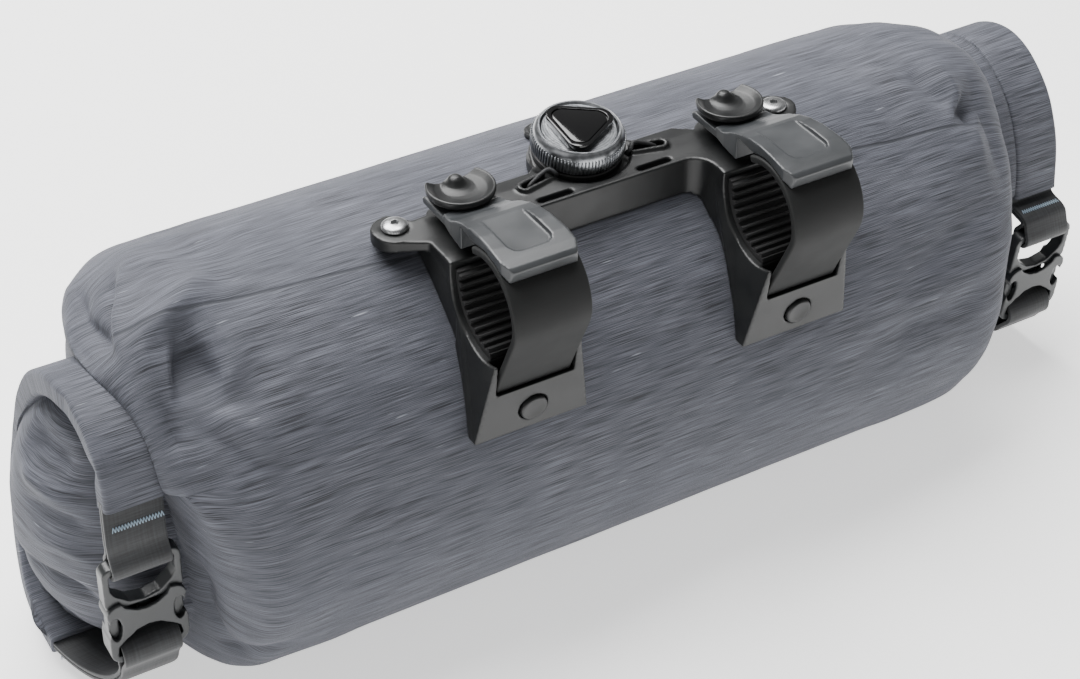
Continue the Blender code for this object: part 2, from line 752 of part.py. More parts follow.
def make_leg(side):
    """One leg of the bracket, wider at its foot."""
    x = side * LEG_SPACING / 2
    leg = prism("join_leg_%d" % side, leg_outline(), LEG_WIDTH / 2, side_frame(x), collection=CUTTERS)
    y, z = bar_centre()
    top_z = z - 17.0 * MM
    low_z = top_z - FOOT_DROP * 0.89
    mesh = leg.data
    flare = FOOT_WIDTH / LEG_WIDTH - 1
    for vertex in mesh.vertices:
        share = min(max((top_z - vertex.co.z) / (top_z - low_z), 0.0), 1.0)
        vertex.co.x = x + (vertex.co.x - x) * (1 + flare * share)
    return leg


def foot_line(drop):
    """Point on the foot's front face at a distance below the foot's top edge."""
    y, z = bar_centre()
    share = drop / (FOOT_DROP * 0.89)
    return Vector((y - 9.3 * MM + 5 * MM * share, z - 17.0 * MM - drop))


def foot_frame(side, drop):
    """Frame on a foot's front face: across is X, up runs along the face, out is the third axis."""
    here = foot_line(drop)
    up = (foot_line(0.0) - foot_line(FOOT_DROP * 0.89)).normalized()
    return axis_frame((side * LEG_SPACING / 2, here.x, here.y), (1, 0, 0), (0, up.x, up.y))


def strap_path():
    """Centre line of a bar strap in side view: foot slot, round the bar's front and over its top."""
    y, z = bar_centre()
    radius = BAR_DIAMETER / 2 + CLEARANCE + STRAP_THICKNESS / 2
    notch = foot_line(NOTCH_DROP - 4 * MM)
    inset = STRAP_THICKNESS / 2 + 0.4 * MM
    root = foot_line(NOTCH_DROP + 5 * MM)
    path = [(root.x + inset + 2.4 * MM, root.y), (notch.x + inset + 0.3 * MM, notch.y)]
    return path + arc((y, z), radius, 190, 62, 14)


def make_bracket():
    bracket = make_plate()
    for side in (-1, 1):
        combine(bracket, make_leg(side), "UNION")
    for side in (-1, 1):
        combine(bracket, make_guide(side), "UNION")
    combine(bracket, dial_seat("join_dial_seat", -8 * MM, 0.0, 0.0), "UNION")
    combine(bracket, bag_cutter(), "DIFFERENCE")
    combine(bracket, dial_seat("cut_dial_seat", 0.0, 10 * MM, 2 * MM), "DIFFERENCE", "MANIFOLD")
    y, z = bar_centre()
    cradle = BAR_DIAMETER / 2 + CRADLE_PAD + 2 * CLEARANCE
    bore = prism("cut_cradle", arc((y, z), cradle, 0, 352.5, 47), LEG_SPACING, side_frame(0.0),
                 collection=CUTTERS)
    combine(bracket, bore, "DIFFERENCE", "MANIFOLD")
    for side in (-1, 1):
        for cutter in (notch_cutter(side), rivet_seat(side), slot_cutter(side), guide_cutter(side)):
            combine(bracket, cutter, "DIFFERENCE", "MANIFOLD")
    smooth(bracket, 30.0)
    return bracket


def dial_seat(name, low, high, margin):
    """Flat-topped round boss under the dial, or the cutter that clears the room above it."""
    radius = DIAL_RADIUS + margin
    profile = ((0.0, high), (radius, high), (radius, low), (0.0, low))
    return turned(name, profile, dial_frame(), DIAL_SIDES, collection=CUTTERS)


def notch_cutter(side):
    """Open notch where a strap lies in the foot, and the slot that it runs down into."""
    inset = STRAP_THICKNESS + 0.4 * MM + 2 * CLEARANCE
    lip = foot_line(NOTCH_DROP)
    top = foot_line(-8 * MM)
    deep = foot_line(NOTCH_DROP + 6 * MM)
    outline = [
        (top.x - 12 * MM, top.y), (lip.x - 12 * MM, lip.y), (lip.x + 1.2 * MM, lip.y),
        (deep.x + 1.2 * MM, deep.y),
        (deep.x + inset + 2.7 * MM, deep.y), (lip.x + inset + 1.6 * MM, lip.y),
        (top.x + inset + 4.5 * MM, top.y),
    ]
    half_width = STRAP_WIDTH / 2 + CLEARANCE * 2
    return prism("cut_notch_%d" % side, outline, half_width, side_frame(side * LEG_SPACING / 2),
                 collection=CUTTERS)


def rivet_seat(side):
    depth = RIVET_HEIGHT / 2 + CLEARANCE
    radius = RIVET_DIAMETER / 2 + CLEARANCE
    profile = ((0.0, RIVET_HEIGHT), (radius, RIVET_HEIGHT), (radius, -depth), (0.0, -depth))
    return turned("cut_rivet_%d" % side, profile, foot_frame(side, RIVET_DROP - 4 * MM), 16,
                  collection=CUTTERS)


def stadium(centre, half_length, radius, steps=4):
    points = arc((centre[0] + half_length - radius, centre[1]), radius, -90, 90, steps)
    points += arc((centre[0] - half_length + radius, centre[1]), radius, 90, 270, steps)
    return points


def plate_height(forward):
    rows = sorted(PLATE_TOP)
    for (low, first), (high, second) in zip(rows, rows[1:]):
        if low <= forward <= high:
            return first + (second - first) * (forward - low) / (high - low)
    return rows[0][1]


def slot_cutter(side):
    y, z = seated(-6.3 * MM, plate_height(-6.3 * MM))
    frame = Matrix.Translation((side * SLOT_CENTRE, y, z))
    return prism("cut_slot_%d" % side, stadium((0, 0), SLOT_LENGTH / 2, SLOT_WIDTH / 2),
                 3 * MM, frame, collection=CUTTERS)


def guide_frame(side):
    forward = -15.0 * MM
    y, z = seated(forward, plate_height(forward))
    return axis_frame((side * (SLOT_CENTRE + 2 * MM), y, z), (1, -0.22 * side, 0), (0, 1, 0.12))


def make_guide(side):
    """Raised stadium rim round a lace hole."""
    half_length = SLOT_LENGTH / 2 + GUIDE_WALL
    radius = SLOT_WIDTH / 2 + GUIDE_WALL
    return prism("join_guide_%d" % side, stadium((0, 0), half_length, radius),
                 GUIDE_HEIGHT, guide_frame(side), collection=CUTTERS)


def guide_cutter(side):
    return prism("cut_guide_%d" % side, stadium((0, 0), SLOT_LENGTH / 2, SLOT_WIDTH / 2),
                 4 * MM, guide_frame(side), collection=CUTTERS)


def make_grip_pad(side, name):
    """Ribbed rubber liner of a cradle."""
    y, z = bar_centre()
    outer = BAR_DIAMETER / 2 + CRADLE_PAD + CLEARANCE
    inner = outer - CRADLE_PAD + PAD_RIB + 2 * CLEARANCE
    start = CRADLE_FROM_DEG - 2
    sweep = CRADLE_TO_DEG + 14 - start
    points = arc((y, z), outer, start, start + sweep, 14)
    cell = sweep / PAD_RIBS
    for rib in range(PAD_RIBS, 0, -1):
        base = start + cell * (rib - 1)
        for share, radius in ((0.98, inner), (0.72, inner), (0.62, inner - PAD_RIB),
                              (0.38, inner - PAD_RIB), (0.28, inner), (0.02, inner)):
            points += arc((y, z), radius, base + cell * share, base + cell * share, 1)[:1]
    pad = prism("grip_pad_" + name, points, PAD_WIDTH / 2, side_frame(side * LEG_SPACING / 2), RUBBER)
    return pad


def make_strap(side, name):
    strap = prism("strap_" + name, ribbon_outline(strap_path(), STRAP_THICKNESS), STRAP_WIDTH / 2,
                  side_frame(side * LEG_SPACING / 2), RUBBER)
    smooth(strap)
    return strap


def make_rivet(side, name):
    radius = RIVET_DIAMETER / 2
    half = RIVET_HEIGHT / 2
    profile = ((0.0, half), (radius * 0.72, half), (radius, half * 0.35), (radius, -half), (0.0, -half))
    rivet = turned("foot_rivet_" + name, profile, foot_frame(side, RIVET_DROP - 4 * MM), 16, NYLON)
    smooth(rivet)
    return rivet


def lever_outline():
    """Side view of a latch lever: plate above, strap arc below and a tongue to the hook."""
    y, z = bar_centre()
    reach = BAR_DIAMETER / 2 + STRAP_THICKNESS + 2 * CLEARANCE
    tongue_low = z + 8.6 * MM
    tongue_top = z + 11.4 * MM
    points = arc((y, z), reach, 129, 66, 8)
    points += [(y + 19.0 * MM, z + 17.0 * MM), (y + 19.0 * MM, tongue_low)]
    points += [(y + HOOK_SETBACK + 7 * MM, tongue_low), (y + HOOK_SETBACK + 7.6 * MM, tongue_top - MM)]
    points += [(y + HOOK_SETBACK + 6.4 * MM, tongue_top)]
    points += [(y + 28.0 * MM, tongue_top), (y + 28.4 * MM, z + 18.2 * MM)]
    points += [(y + 26.5 * MM, z + 20.4 * MM), (y + 18 * MM, z + 21.4 * MM), (y + 6 * MM, z + 22.2 * MM)]
    points += [(y - 6 * MM, z + 21.6 * MM), (y - 12.8 * MM, z + 19.8 * MM), (y - 13.4 * MM, z + 18.6 * MM)]
    return points


def make_latch(side, name):
    """Latch lever with a thumb recess; its tongue has the hook's stem hole."""
    x = side * LEG_SPACING / 2
    y, z = bar_centre()
    latch = prism("latch_" + name, lever_outline(), LEVER_WIDTH / 2, side_frame(x), LEVER_GREY)
    for edge, label in ((-1, "a"), (1, "b")):
        trim = prism(
            "cut_tongue_%s_%s" % (label, name),
            [(edge * TONGUE_WIDTH / 2, 28.7 * MM), (edge * LEVER_WIDTH, 28.7 * MM),
             (edge * LEVER_WIDTH, 60 * MM), (edge * TONGUE_WIDTH / 2, 60 * MM)],
            30 * MM, Matrix.Translation((x, y, z)), collection=CUTTERS)
        combine(latch, trim, "DIFFERENCE")
    stem = turned(
        "cut_stem_" + name,
        ((0.0, 30 * MM), (HOOK_STEM_RADIUS + CLEARANCE, 30 * MM),
         (HOOK_STEM_RADIUS + CLEARANCE, -10 * MM), (0.0, -10 * MM)),
        Matrix.Translation((x, y + HOOK_SETBACK, z)), 20, collection=CUTTERS)
    combine(latch, stem, "DIFFERENCE")
    recess = prism(
        "cut_recess_" + name,
        rounded_box_outline(LEVER_WIDTH * 0.27, -10.5 * MM, 9 * MM, 4 * MM),
        1.2 * MM, Matrix.Translation((x, y, z + 22.6 * MM)), collection=CUTTERS)
    combine(latch, recess, "DIFFERENCE")
    return latch


def make_hook(side, name):
    """Mushroom hook that holds the lever's tongue: stem, dished flange and nub."""
    x = side * LEG_SPACING / 2
    y, z = bar_centre()
    hook_y = y + HOOK_SETBACK
    forward = -(hook_y - seat_point().x)
    base = seat_point().y + plate_height(forward) + CLEARANCE + 0.4 * MM
    frame = Matrix.Translation((x, hook_y, base))
    underside = z + 11.4 * MM + 2 * CLEARANCE - base
    profile = (
        (0.0, HOOK_HEIGHT - 2.2 * MM),
        (HOOK_RADIUS * 0.55, HOOK_HEIGHT - 1.8 * MM),
        (HOOK_RADIUS * 0.92, HOOK_HEIGHT - 0.2 * MM),
        (HOOK_RADIUS, HOOK_HEIGHT - 0.6 * MM),
        (HOOK_RADIUS, HOOK_HEIGHT - 1.8 * MM),
        (HOOK_RADIUS * 0.6, underside),
        (HOOK_STEM_RADIUS, underside),
        (HOOK_STEM_RADIUS, 0.0),
        (0.0, 0.0),
    )
    hook = turned("hook_" + name, profile, frame, 18, NYLON)
    nub = turned(
        "join_nub_" + name,
        ((0.0, HOOK_HEIGHT + 1.6 * MM), (NUB_RADIUS * 0.7, HOOK_HEIGHT + MM),
         (NUB_RADIUS, HOOK_HEIGHT - 0.6 * MM), (NUB_RADIUS, HOOK_HEIGHT - 4 * MM),
         (0.0, HOOK_HEIGHT - 4 * MM)),
        Matrix.Translation((x, hook_y + 3.5 * MM, base)), 10, collection=CUTTERS)
    combine(hook, nub, "UNION")
    back = prism(
        "cut_hook_back_" + name,
        [(-20 * MM, 6.5 * MM), (20 * MM, 6.5 * MM), (20 * MM, 20 * MM), (-20 * MM, 20 * MM)],
        30 * MM, frame, collection=CUTTERS)
    combine(hook, back, "DIFFERENCE")
    smooth(hook)
    return hook


def make_screw(name, x, y_forward):
    """Dome-headed screw in an ear."""
    y, z = seated(y_forward, plate_height(y_forward) + CLEARANCE)
    slope = (plate_height(y_forward + MM) - plate_height(y_forward - MM)) / (2 * MM)
    frame = axis_frame((x, y, z), (1, 0, 0), (0, 1, -slope))
    radius = SCREW_DIAMETER / 2
    profile = (
        (0.0, SCREW_HEIGHT * 0.35), (radius * 0.42, SCREW_HEIGHT * 0.35), (radius * 0.48, SCREW_HEIGHT),
        (radius * 0.8, SCREW_HEIGHT * 0.85), (radius, SCREW_HEIGHT * 0.3), (radius, 0.0), (0.0, 0.0),
    )
    screw = turned(name, profile, frame, 12, STEEL)
    smooth(screw)
    return screw


def dial_frame():
    """Frame of the dial: its third axis is the turning axis, its origin on the bridge."""
    y, z = seated(-DIAL_BACK, plate_height(-DIAL_BACK) + CLEARANCE)
    tilt = Matrix.Rotation(math.radians(DIAL_TILT_DEG), 4, "X")
    return Matrix.Translation((0.0, y, z)) @ tilt


def rounded_triangle(reach, corner):
    """Rounded triangle with one corner to the right."""
    points = []
    for point_deg in (0, 120, 240):
        angle = math.radians(point_deg)
        centre = ((reach - corner) * math.cos(angle), (reach - corner) * math.sin(angle))
        points += arc(centre, corner, point_deg - 50, point_deg + 50, 4)
    return points


def on_axis(obj, frame):
    """Move an object's origin to the frame, keeping its shape where it is."""
    obj.data.transform(frame.inverted())
    obj.matrix_world = frame


def make_dial():
    frame = dial_frame()
    skirt = DIAL_HEIGHT * 0.3
    seat = skirt - 2 * CLEARANCE
    base_radius = DIAL_RADIUS - 0.8 * MM
    bore = CORE_RADIUS + CLEARANCE
    base_profile = (
        (bore, seat), (base_radius, seat), (base_radius, CLEARANCE), (bore, CLEARANCE), (bore, seat),
    )
    base = turned("dial_base", base_profile, frame, DIAL_SIDES, NYLON)
    smooth(base)

    core_top = DIAL_HEIGHT * 0.72
    core_profile = ((0.0, core_top), (CORE_RADIUS, core_top), (CORE_RADIUS, 2 * CLEARANCE), (0.0, 2 * CLEARANCE))
    core = turned("dial_core", core_profile, frame, 18, STEEL)
    smooth(core)

    shoulder = DIAL_HEIGHT * 0.88
    knob_profile = (
        (0.0, shoulder), (DIAL_RADIUS * 0.8, shoulder), (DIAL_RADIUS * 0.9, DIAL_HEIGHT * 0.8),
        (DIAL_RADIUS, DIAL_HEIGHT * 0.55), (DIAL_RADIUS, DIAL_HEIGHT * 0.38), (DIAL_RADIUS * 0.97, skirt),
        (bore, skirt), (bore, core_top + CLEARANCE), (0.0, core_top + CLEARANCE),
    )
    knob = turned("dial_knob", knob_profile, frame, DIAL_SIDES, DIAL_GREY)
    cap_low = DIAL_HEIGHT * 0.79
    recess = prism(
        "cut_cap_seat", rounded_triangle(CAP_REACH + CLEARANCE, 5 * MM), DIAL_HEIGHT,
        frame @ Matrix.Translation((0, 0, cap_low + DIAL_HEIGHT)), collection=CUTTERS)
    combine(knob, recess, "DIFFERENCE")
    smooth(knob)
    cap_half = (DIAL_HEIGHT - cap_low - CLEARANCE) / 2
    cap = prism(
        "dial_cap", rounded_triangle(CAP_REACH, 5 * MM), cap_half,
        frame @ Matrix.Translation((0, 0, DIAL_HEIGHT - cap_half)), GLOSS_BLACK)
    bevelled(cap, 0.7 * MM)
    for piece in (core, knob, cap):
        on_axis(piece, frame)


def make_lace(side, name):
    """Short lace from the dial's base down into its guide hole."""
    frame = dial_frame()
    exit_angle = math.radians(-35 if side > 0 else -145)
    base_radius = DIAL_RADIUS - 0.8 * MM
    out = Vector((math.cos(exit_angle), math.sin(exit_angle), 0))
    start = frame @ (out * (base_radius + 3 * CLEARANCE) + Vector((0, 0, 1.7 * MM)))
    rise = frame @ (out * (DIAL_RADIUS + 1.6 * MM) + Vector((0, 0, 4.0 * MM)))
    hole = guide_frame(side)
    inner = hole @ Vector((-side * SLOT_LENGTH * 0.3, 0, GUIDE_HEIGHT + 1.4 * LACE_DIAMETER))
    down = hole @ Vector((side * SLOT_LENGTH * 0.2, 0, LACE_DIAMETER * 0.3))
    bottom = hole @ Vector((side * SLOT_LENGTH * 0.28, 0, -2 * MM))
    curve = bpy.data.curves.new("lace_route", "CURVE")
    curve.dimensions = "3D"
    curve.bevel_depth = LACE_DIAMETER / 2
    curve.bevel_resolution = 1
    curve.use_fill_caps = True
    spline = curve.splines.new("POLY")
    route = (start, rise, inner, down, bottom)
    spline.points.add(len(route) - 1)
    for point, place in zip(spline.points, route):
        point.co = (*place, 1.0)
    guide = bpy.data.objects.new("lace_route", curve)
    PARTS.objects.link(guide)
    lace = place_object("lace_" + name, baked_mesh(guide, "lace_" + name), WEBBING)
    smooth(lace)
    return lace


def stand_on_origin():
    """Carry every piece on an empty, so the underside's centre is the world's origin."""
    bpy.context.view_layer.update()
    depsgraph = bpy.context.evaluated_depsgraph_get()
    low = Vector((1.0, 1.0, 1.0))
    high = Vector((-1.0, -1.0, -1.0))
    for obj in PARTS.objects:
        mesh = obj.evaluated_get(depsgraph).to_mesh()
        for vertex in mesh.vertices:
            place = obj.matrix_world @ vertex.co
            low = Vector(map(min, low, place))
            high = Vector(map(max, high, place))
    carrier = bpy.data.objects.new("ground_centre", None)
    PARTS.objects.link(carrier)
    carrier.location = (-(low.x + high.x) / 2, -(low.y + high.y) / 2, -low.z)
    for collection in (PARTS, CUTTERS):
        for obj in collection.objects:
            if obj is not carrier:
                obj.parent = carrier
    bpy.context.view_layer.update()


def main():
    make_bag_body()
    for end in (LEFT_END, RIGHT_END):
        make_roll(end)
        frame = make_buckle(end)
        make_webbing(end, frame)
    make_bracket()
    ear_x = LEG_SPACING / 2 + EAR_REACH
    for side, name in ((-1, "left"), (1, "right")):
        make_grip_pad(side, name)
        make_strap(side, name)
        make_rivet(side, name)
        make_latch(side, name)
        make_hook(side, name)
        make_lace(side, name)
        make_screw("ear_screw_" + name, side * ear_x, -15.3 * MM)
    make_screw("ear_screw_rear", 0.0, -DIAL_BACK - DIAL_RADIUS - 7 * MM)
    make_dial()
    stand_on_origin()


main()
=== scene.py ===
# Bicycle handlebar bag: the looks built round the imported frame. Shapes are worked out in
# millimetres from the tube's centre line, X along the tube, -Y to the bracket, and moved to the
# frame when their mesh is made.

import math

import bmesh
import bpy
import numpy as np
from mathutils import Matrix, Vector, noise


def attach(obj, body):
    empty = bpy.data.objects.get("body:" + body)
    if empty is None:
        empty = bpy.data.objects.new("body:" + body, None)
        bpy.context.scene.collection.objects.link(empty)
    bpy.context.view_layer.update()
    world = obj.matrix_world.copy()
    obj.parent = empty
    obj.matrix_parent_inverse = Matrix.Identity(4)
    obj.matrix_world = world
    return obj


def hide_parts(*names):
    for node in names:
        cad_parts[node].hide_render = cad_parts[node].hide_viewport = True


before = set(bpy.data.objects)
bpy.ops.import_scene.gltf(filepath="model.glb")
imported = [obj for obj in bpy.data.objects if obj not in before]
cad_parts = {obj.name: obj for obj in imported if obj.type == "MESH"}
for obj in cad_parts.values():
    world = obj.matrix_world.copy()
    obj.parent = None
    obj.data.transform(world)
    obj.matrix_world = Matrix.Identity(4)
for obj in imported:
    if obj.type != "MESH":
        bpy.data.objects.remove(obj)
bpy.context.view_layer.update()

MM = 0.001
TUBE_CENTRE = Vector((-5.857, 8.063, 65.25))
# Half the length of a tool that cuts or trims right across the bracket
CUT_REACH = 103

# Bag tube and ends
BAG_RADIUS = 75
FLOOR_SHARE = 0.87
LOOP_POINTS = 48
OUTER_POINTS = 34
FOLD_TOP_DEG = 150
SEAM_STEP_DEG = 7.5
FABRIC_WALL = 1.5
CLEARANCE = 0.3
LOOP_LENGTH = 2 * math.pi * BAG_RADIUS
ROLL_WIDTH = 20
ROLL_THICKNESS = 8.6
ROLL_EDGE = 1.7
ROLL_CROWN = 0.3
LIP_GAP = 5.2
RING_HALF_DEPTH = 45
RING_HALF_HEIGHT = 55
PILLOW_CENTRE = (-0.12, -0.12)
PILLOW_HALF = (0.8, 0.95)

# Handlebar clamp and its fittings
BAR_RADIUS = 15.9
BAR_FORWARD = 30.2
BAR_RISE = 13.2
LEG_X = 51.5
LEG_WIDTH = 31
FOOT_WIDTH = 42
FOOT_DROP = 38
# The foot's front face: how far it starts below the bar and behind its middle, and its height
FOOT_TOP = 17
FOOT_SET = 9.3
FOOT_LEAN = 5
FOOT_FACE = FOOT_DROP * 0.89
CRADLE_PAD = 3.8
PAD_WIDTH = 27
STRAP_WIDTH = 27.5
STRAP_THICKNESS = 2.5
SEAT_DEG = 122
NOTCH_DROP = 14.3
RIVET_DROP = 25.2
RIVET_SEAT = 5.3
EAR_REACH = 21.7
EAR_RADIUS = 8
EAR_BACK = 15.3
SCREW_SEAT = 5.2
SLOT_LENGTH = 13.3
SLOT_WIDTH = 2.2
SLOT_X = 19
SLOT_BACK = 6.3
GUIDE_BACK = 15.0
GUIDE_RIM = 1.5
LEVER_WIDTH = 27
HOOK_RADIUS = 11.5
HOOK_SETBACK = 41
TONGUE_LOW = 8.6
TONGUE_TOP = 11.4
STEM_HOLE = 5.3
DIAL_RADIUS = 16.2
DIAL_TILT_DEG = 8
DIAL_BACK = 24.8
KNOB_RIBS = 84
KNOB_RIB_SIZE = (5.6, 0.62, 0.9)

# Buckles and webbing
WEBBING_WIDTH = 20
WEBBING_THICKNESS = 1.6
BUCKLE_WIDTH = 27
BUCKLE_LENGTH = 42
BUCKLE_THICKNESS = 8
BUCKLE_BAR = 3.2
STITCHES = 34
SEAM_LENGTH = 17.2
STITCH_SIZE = (2.1, 0.36, 0.36)

# Tube's cross-section, by angle from the back over the top: (angle in degrees, radius share)
SECTION = (
    (0, 1.0), (30, 0.987), (60, 0.993), (90, 1.053), (107, 1.087), (130, 1.053),
    (158, 1.035), (180, 1.02), (210, 1.01), (240, 1.01), (300, 1.0), (360, 1.0),
)

# Centre line of each rolled band from its upper end over the top to its lower end:
# (share of the half depth, share of the half height, share of the end's skew)
LEFT_RING = (
    (-1.04, 0.56, 0.0), (-0.96, 0.84, 0.0), (-0.71, 1.0, 0.0), (-0.31, 1.02, 0.1),
    (0.09, 0.84, 0.15), (0.40, 0.53, 0.2), (0.64, 0.13, 0.25), (0.76, -0.29, 0.4),
    (0.62, -0.67, 0.65), (0.29, -0.91, 0.85), (-0.18, -1.0, 0.85),
)
RIGHT_RING = (
    (-0.58, 0.15, 0.0), (-0.51, 0.51, 0.0), (-0.29, 0.84, 0.0), (0.11, 1.02, 0.0),
    (0.53, 0.91, 0.0), (0.80, 0.58, 0.0), (0.89, 0.15, 0.0), (0.80, -0.33, 0.0),
    (0.53, -0.69, 0.0), (0.13, -0.89, 0.0), (-0.18, -0.95, 0.0),
)

# Broad dents and ridges: (side, loop point, half width, stage, half length, depth share)
FOLDS = (
    (-1, 3.0, 1.4, 0.14, 0.20, 0.06), (-1, 0.5, 1.4, 0.40, 0.25, 0.05),
    (-1, 6.0, 1.4, 0.40, 0.35, -0.03), (-1, 9.0, 1.6, 0.75, 0.28, 0.09),
    (-1, 16.0, 1.8, 0.60, 0.35, 0.05), (-1, 22.0, 1.5, 0.60, 0.35, 0.05),
    (-1, 26.5, 1.2, 0.60, 0.35, 0.06), (-1, 41.0, 1.5, 0.45, 0.30, 0.04),
    (-1, 34.0, 1.4, 0.50, 0.30, 0.05), (1, 1.5, 1.4, 0.25, 0.20, 0.04),
    (1, 7.0, 1.4, 0.40, 0.30, -0.02), (1, 11.0, 1.6, 0.65, 0.30, 0.06),
    (1, 19.0, 1.8, 0.60, 0.35, 0.05), (1, 25.0, 1.4, 0.60, 0.35, 0.05),
    (1, 45.0, 1.5, 0.55, 0.30, 0.04), (1, 36.0, 1.6, 0.50, 0.30, 0.05),
)

# Where the ends swell outward, or draw in: (side, loop point, half width, stage, half length,
# reach)
SWELLS = (
    (-1, 9.5, 5.5, 0.85, 0.45, 11.0), (-1, 2.0, 3.0, 0.8, 0.4, 3.0),
    (1, 44.5, 6.5, 0.7, 0.45, -11.0),
)

# Creases pressed into the bag's cloth: (height, half width, places along it). Minus is a dent.
BAG_CREASES = (
    (3.8, 3.4, ((-150, 13, 76), (-160, -5, 76), (-166, -20, 73), (-169, -31, 69))),
    (-5.0, 3.6, ((-154, 10, 76), (-162, -2, 74), (-168, -13, 70), (-170, -25, 69))),
    (-5.5, 3.6, ((-166, 20, 67), (-170, 2, 67), (-171, -19, 68))),
    (2.4, 3.4, ((-164, 31, 58), (-167, 12, 64), (-169, -10, 70))),
    (3.8, 5.0, ((-130, -10, 79), (-145, -21, 79), (-158, -28, 77), (-166, -30, 72))),
    (2.4, 2.6, ((-144, -30, 75), (-156, -32, 74), (-167, -33, 70))),
    (-3.6, 3.0, ((-139, -27, 78), (-153, -31, 75), (-165, -33, 71))),
    (-8.0, 9.5, ((-157, -37, 69), (-150, -38, 68), (-142, -37, 69))),
    (3.6, 3.4, ((-138, -31, 75), (-135, -38, 69), (-141, -44, 62), (-151, -45, 59))),
    (-4.5, 5.0, ((-162, -41, 66), (-163, -49, 57), (-162, -56, 46))),
    (3.0, 4.4, ((-151, -49, 56), (-142, -57, 52), (-131, -66, 42))),
    (-3.6, 4.6, ((-157, -51, 55), (-145, -60, 47), (-135, -69, 35))),
    (-2.0, 5.0, ((-157, -58, 43), (-148, -65, 40), (-143, -70, 33))),
    (-3.0, 5.0, ((-160, -53, 2), (-158, -48, -25), (-152, -56, -39))),
    (-3.0, 5.0, ((-156, -45, -43), (-149, -61, -38), (-135, -69, -30))),
    (-2.6, 3.0, ((-201, -4, 9), (-196, -20, 13), (-186, -32, 11))),
    (1.8, 3.0, ((-202, 1, -7), (-196, -23, 2), (-185, -34, -4))),
    (-5.0, 3.4, ((-202, 6, -22), (-197, -19, -18), (-185, -31, -24))),
    (-4.0, 3.0, ((-200, 6, -36), (-196, -4, -42), (-190, -12, -48))),
    (-3.0, 3.0, ((-196, 10, -46), (-194, 0, -51))),
    (-5.0, 6.0, ((-194, 3, 30), (-193, -12, 32), (-187, -25, 28))),
    (3.2, 4.0, ((-198, -1, 22), (-197, -15, 21), (-189, -28, 19))),
    (-3.2, 4.5, ((134, -19, 79), (140, -34, 74), (147, -39, 69))),
    (-7.0, 7.0, ((147, -37, 71), (150, -40, 68), (154, -44, 64))),
    (-3.6, 4.0, ((160, -27, 74), (160, -37, 67), (160, -48, 56), (157, -59, 43))),
    (2.8, 5.0, ((148, -19, 79), (148, -32, 74), (148, -46, 63), (149, -57, 49))),
    (-2.0, 8.0, ((117, -25, 78), (116, -46, 65), (120, -60, 50))),
    (-2.4, 7.0, ((152, -60, 44), (128, -69, 36), (100, -73, 26))),
    (-2.4, 7.0, ((145, -75, 15), (117, -76, 10), (91, -76, 10))),
    (-1.8, 8.0, ((-138, 24, 72), (-132, 3, 79), (-112, 1, 79))),
    (-1.6, 7.0, ((-121, -71, 32), (-102, -75, 19), (-77, -75, 20))),
)

# Creases of the two rolled bands, in the same way
BAND_CREASES = {
    "left": (
        (-2.2, 2.6, ((-190, -22, 58), (-184, -26, 57), (-178, -28, 56))),
        (-1.6, 3.0, ((-192, -40, 40), (-182, -42, 44), (-174, -43, 46))),
        (1.4, 4.0, ((-190, -44, 30), (-180, -46, 26), (-172, -46, 20))),
    ),
    "right": (
        (-1.8, 3.0, ((186, 6, 58), (196, 4, 58), (204, 2, 58))),
        (-1.6, 3.0, ((186, -14, 44), (196, -16, 42), (204, -18, 40))),
    ),
}

# Openings and prong of the buckle, seen from the front: (across, up) from its middle
LOWER_EYE = (
    (-11, -17.8), (11, -17.8), (10.6, -13.6), (8.4, -11.6), (4, -8.2), (0, -7.4), (-4, -8.2),
    (-8.4, -11.6), (-10.6, -13.6),
)
UPPER_WAIST = (
    (-9.8, 8), (9.8, 8), (7.2, 3.2), (3.6, 0.9), (0, 0.2), (-3.6, 0.9), (-7.2, 3.2),
)
WEBBING_EYE = (
    (-11, 18), (11, 18), (11, 11), (9.6, 8.4), (5.4, 4.6), (0, 3.4), (-5.4, 4.6), (-9.6, 8.4),
    (-11, 11),
)
PRONG = ((7.4, 6), (12.9, 6), (12.9, -7.5), (11.6, -11.8), (9.4, -11.2), (9.2, -3))

# Turned profiles, from the top: (radius, height)
RIVET_PROFILE = (
    (0, 0.45), (1.6, 0.5), (3.2, 0.75), (4.0, 1.05), (4.5, 0.9), (4.75, 0.4), (4.8, -1.1),
    (0, -1.1),
)
HOOK_DISH = (
    (0, 9.0), (5.5, 9.2), (8.6, 9.9), (10.1, 11.0), (10.7, 11.5), (11.3, 11.4), (11.5, 10.9),
    (11.4, 9.6), (10.8, 8.6),
)
NUB_PROFILE = (
    (0, 12.9), (1.4, 12.7), (2.3, 12.0), (2.9, 11.0), (3.6, 10.1), (4.8, 9.5), (6.4, 9.2),
    (6.4, 7.5), (0, 7.5),
)
DIAL_BASE_PROFILE = ((5.3, 2.1), (14.9, 2.1), (15.4, 1.7), (15.4, 0.3), (5.3, 0.3), (5.3, 2.1))
DIAL_KNOB_PROFILE = (
    (0, 10.2), (12.6, 10.2), (13.0, 10.5), (13.3, 11.0), (13.9, 11.0), (14.6, 10.4), (15.3, 9.0),
    (15.7, 7.4), (15.75, 3.9), (15.5, 3.1), (14.9, 2.8), (5.4, 2.8), (5.4, 9.4), (0, 9.4),
)

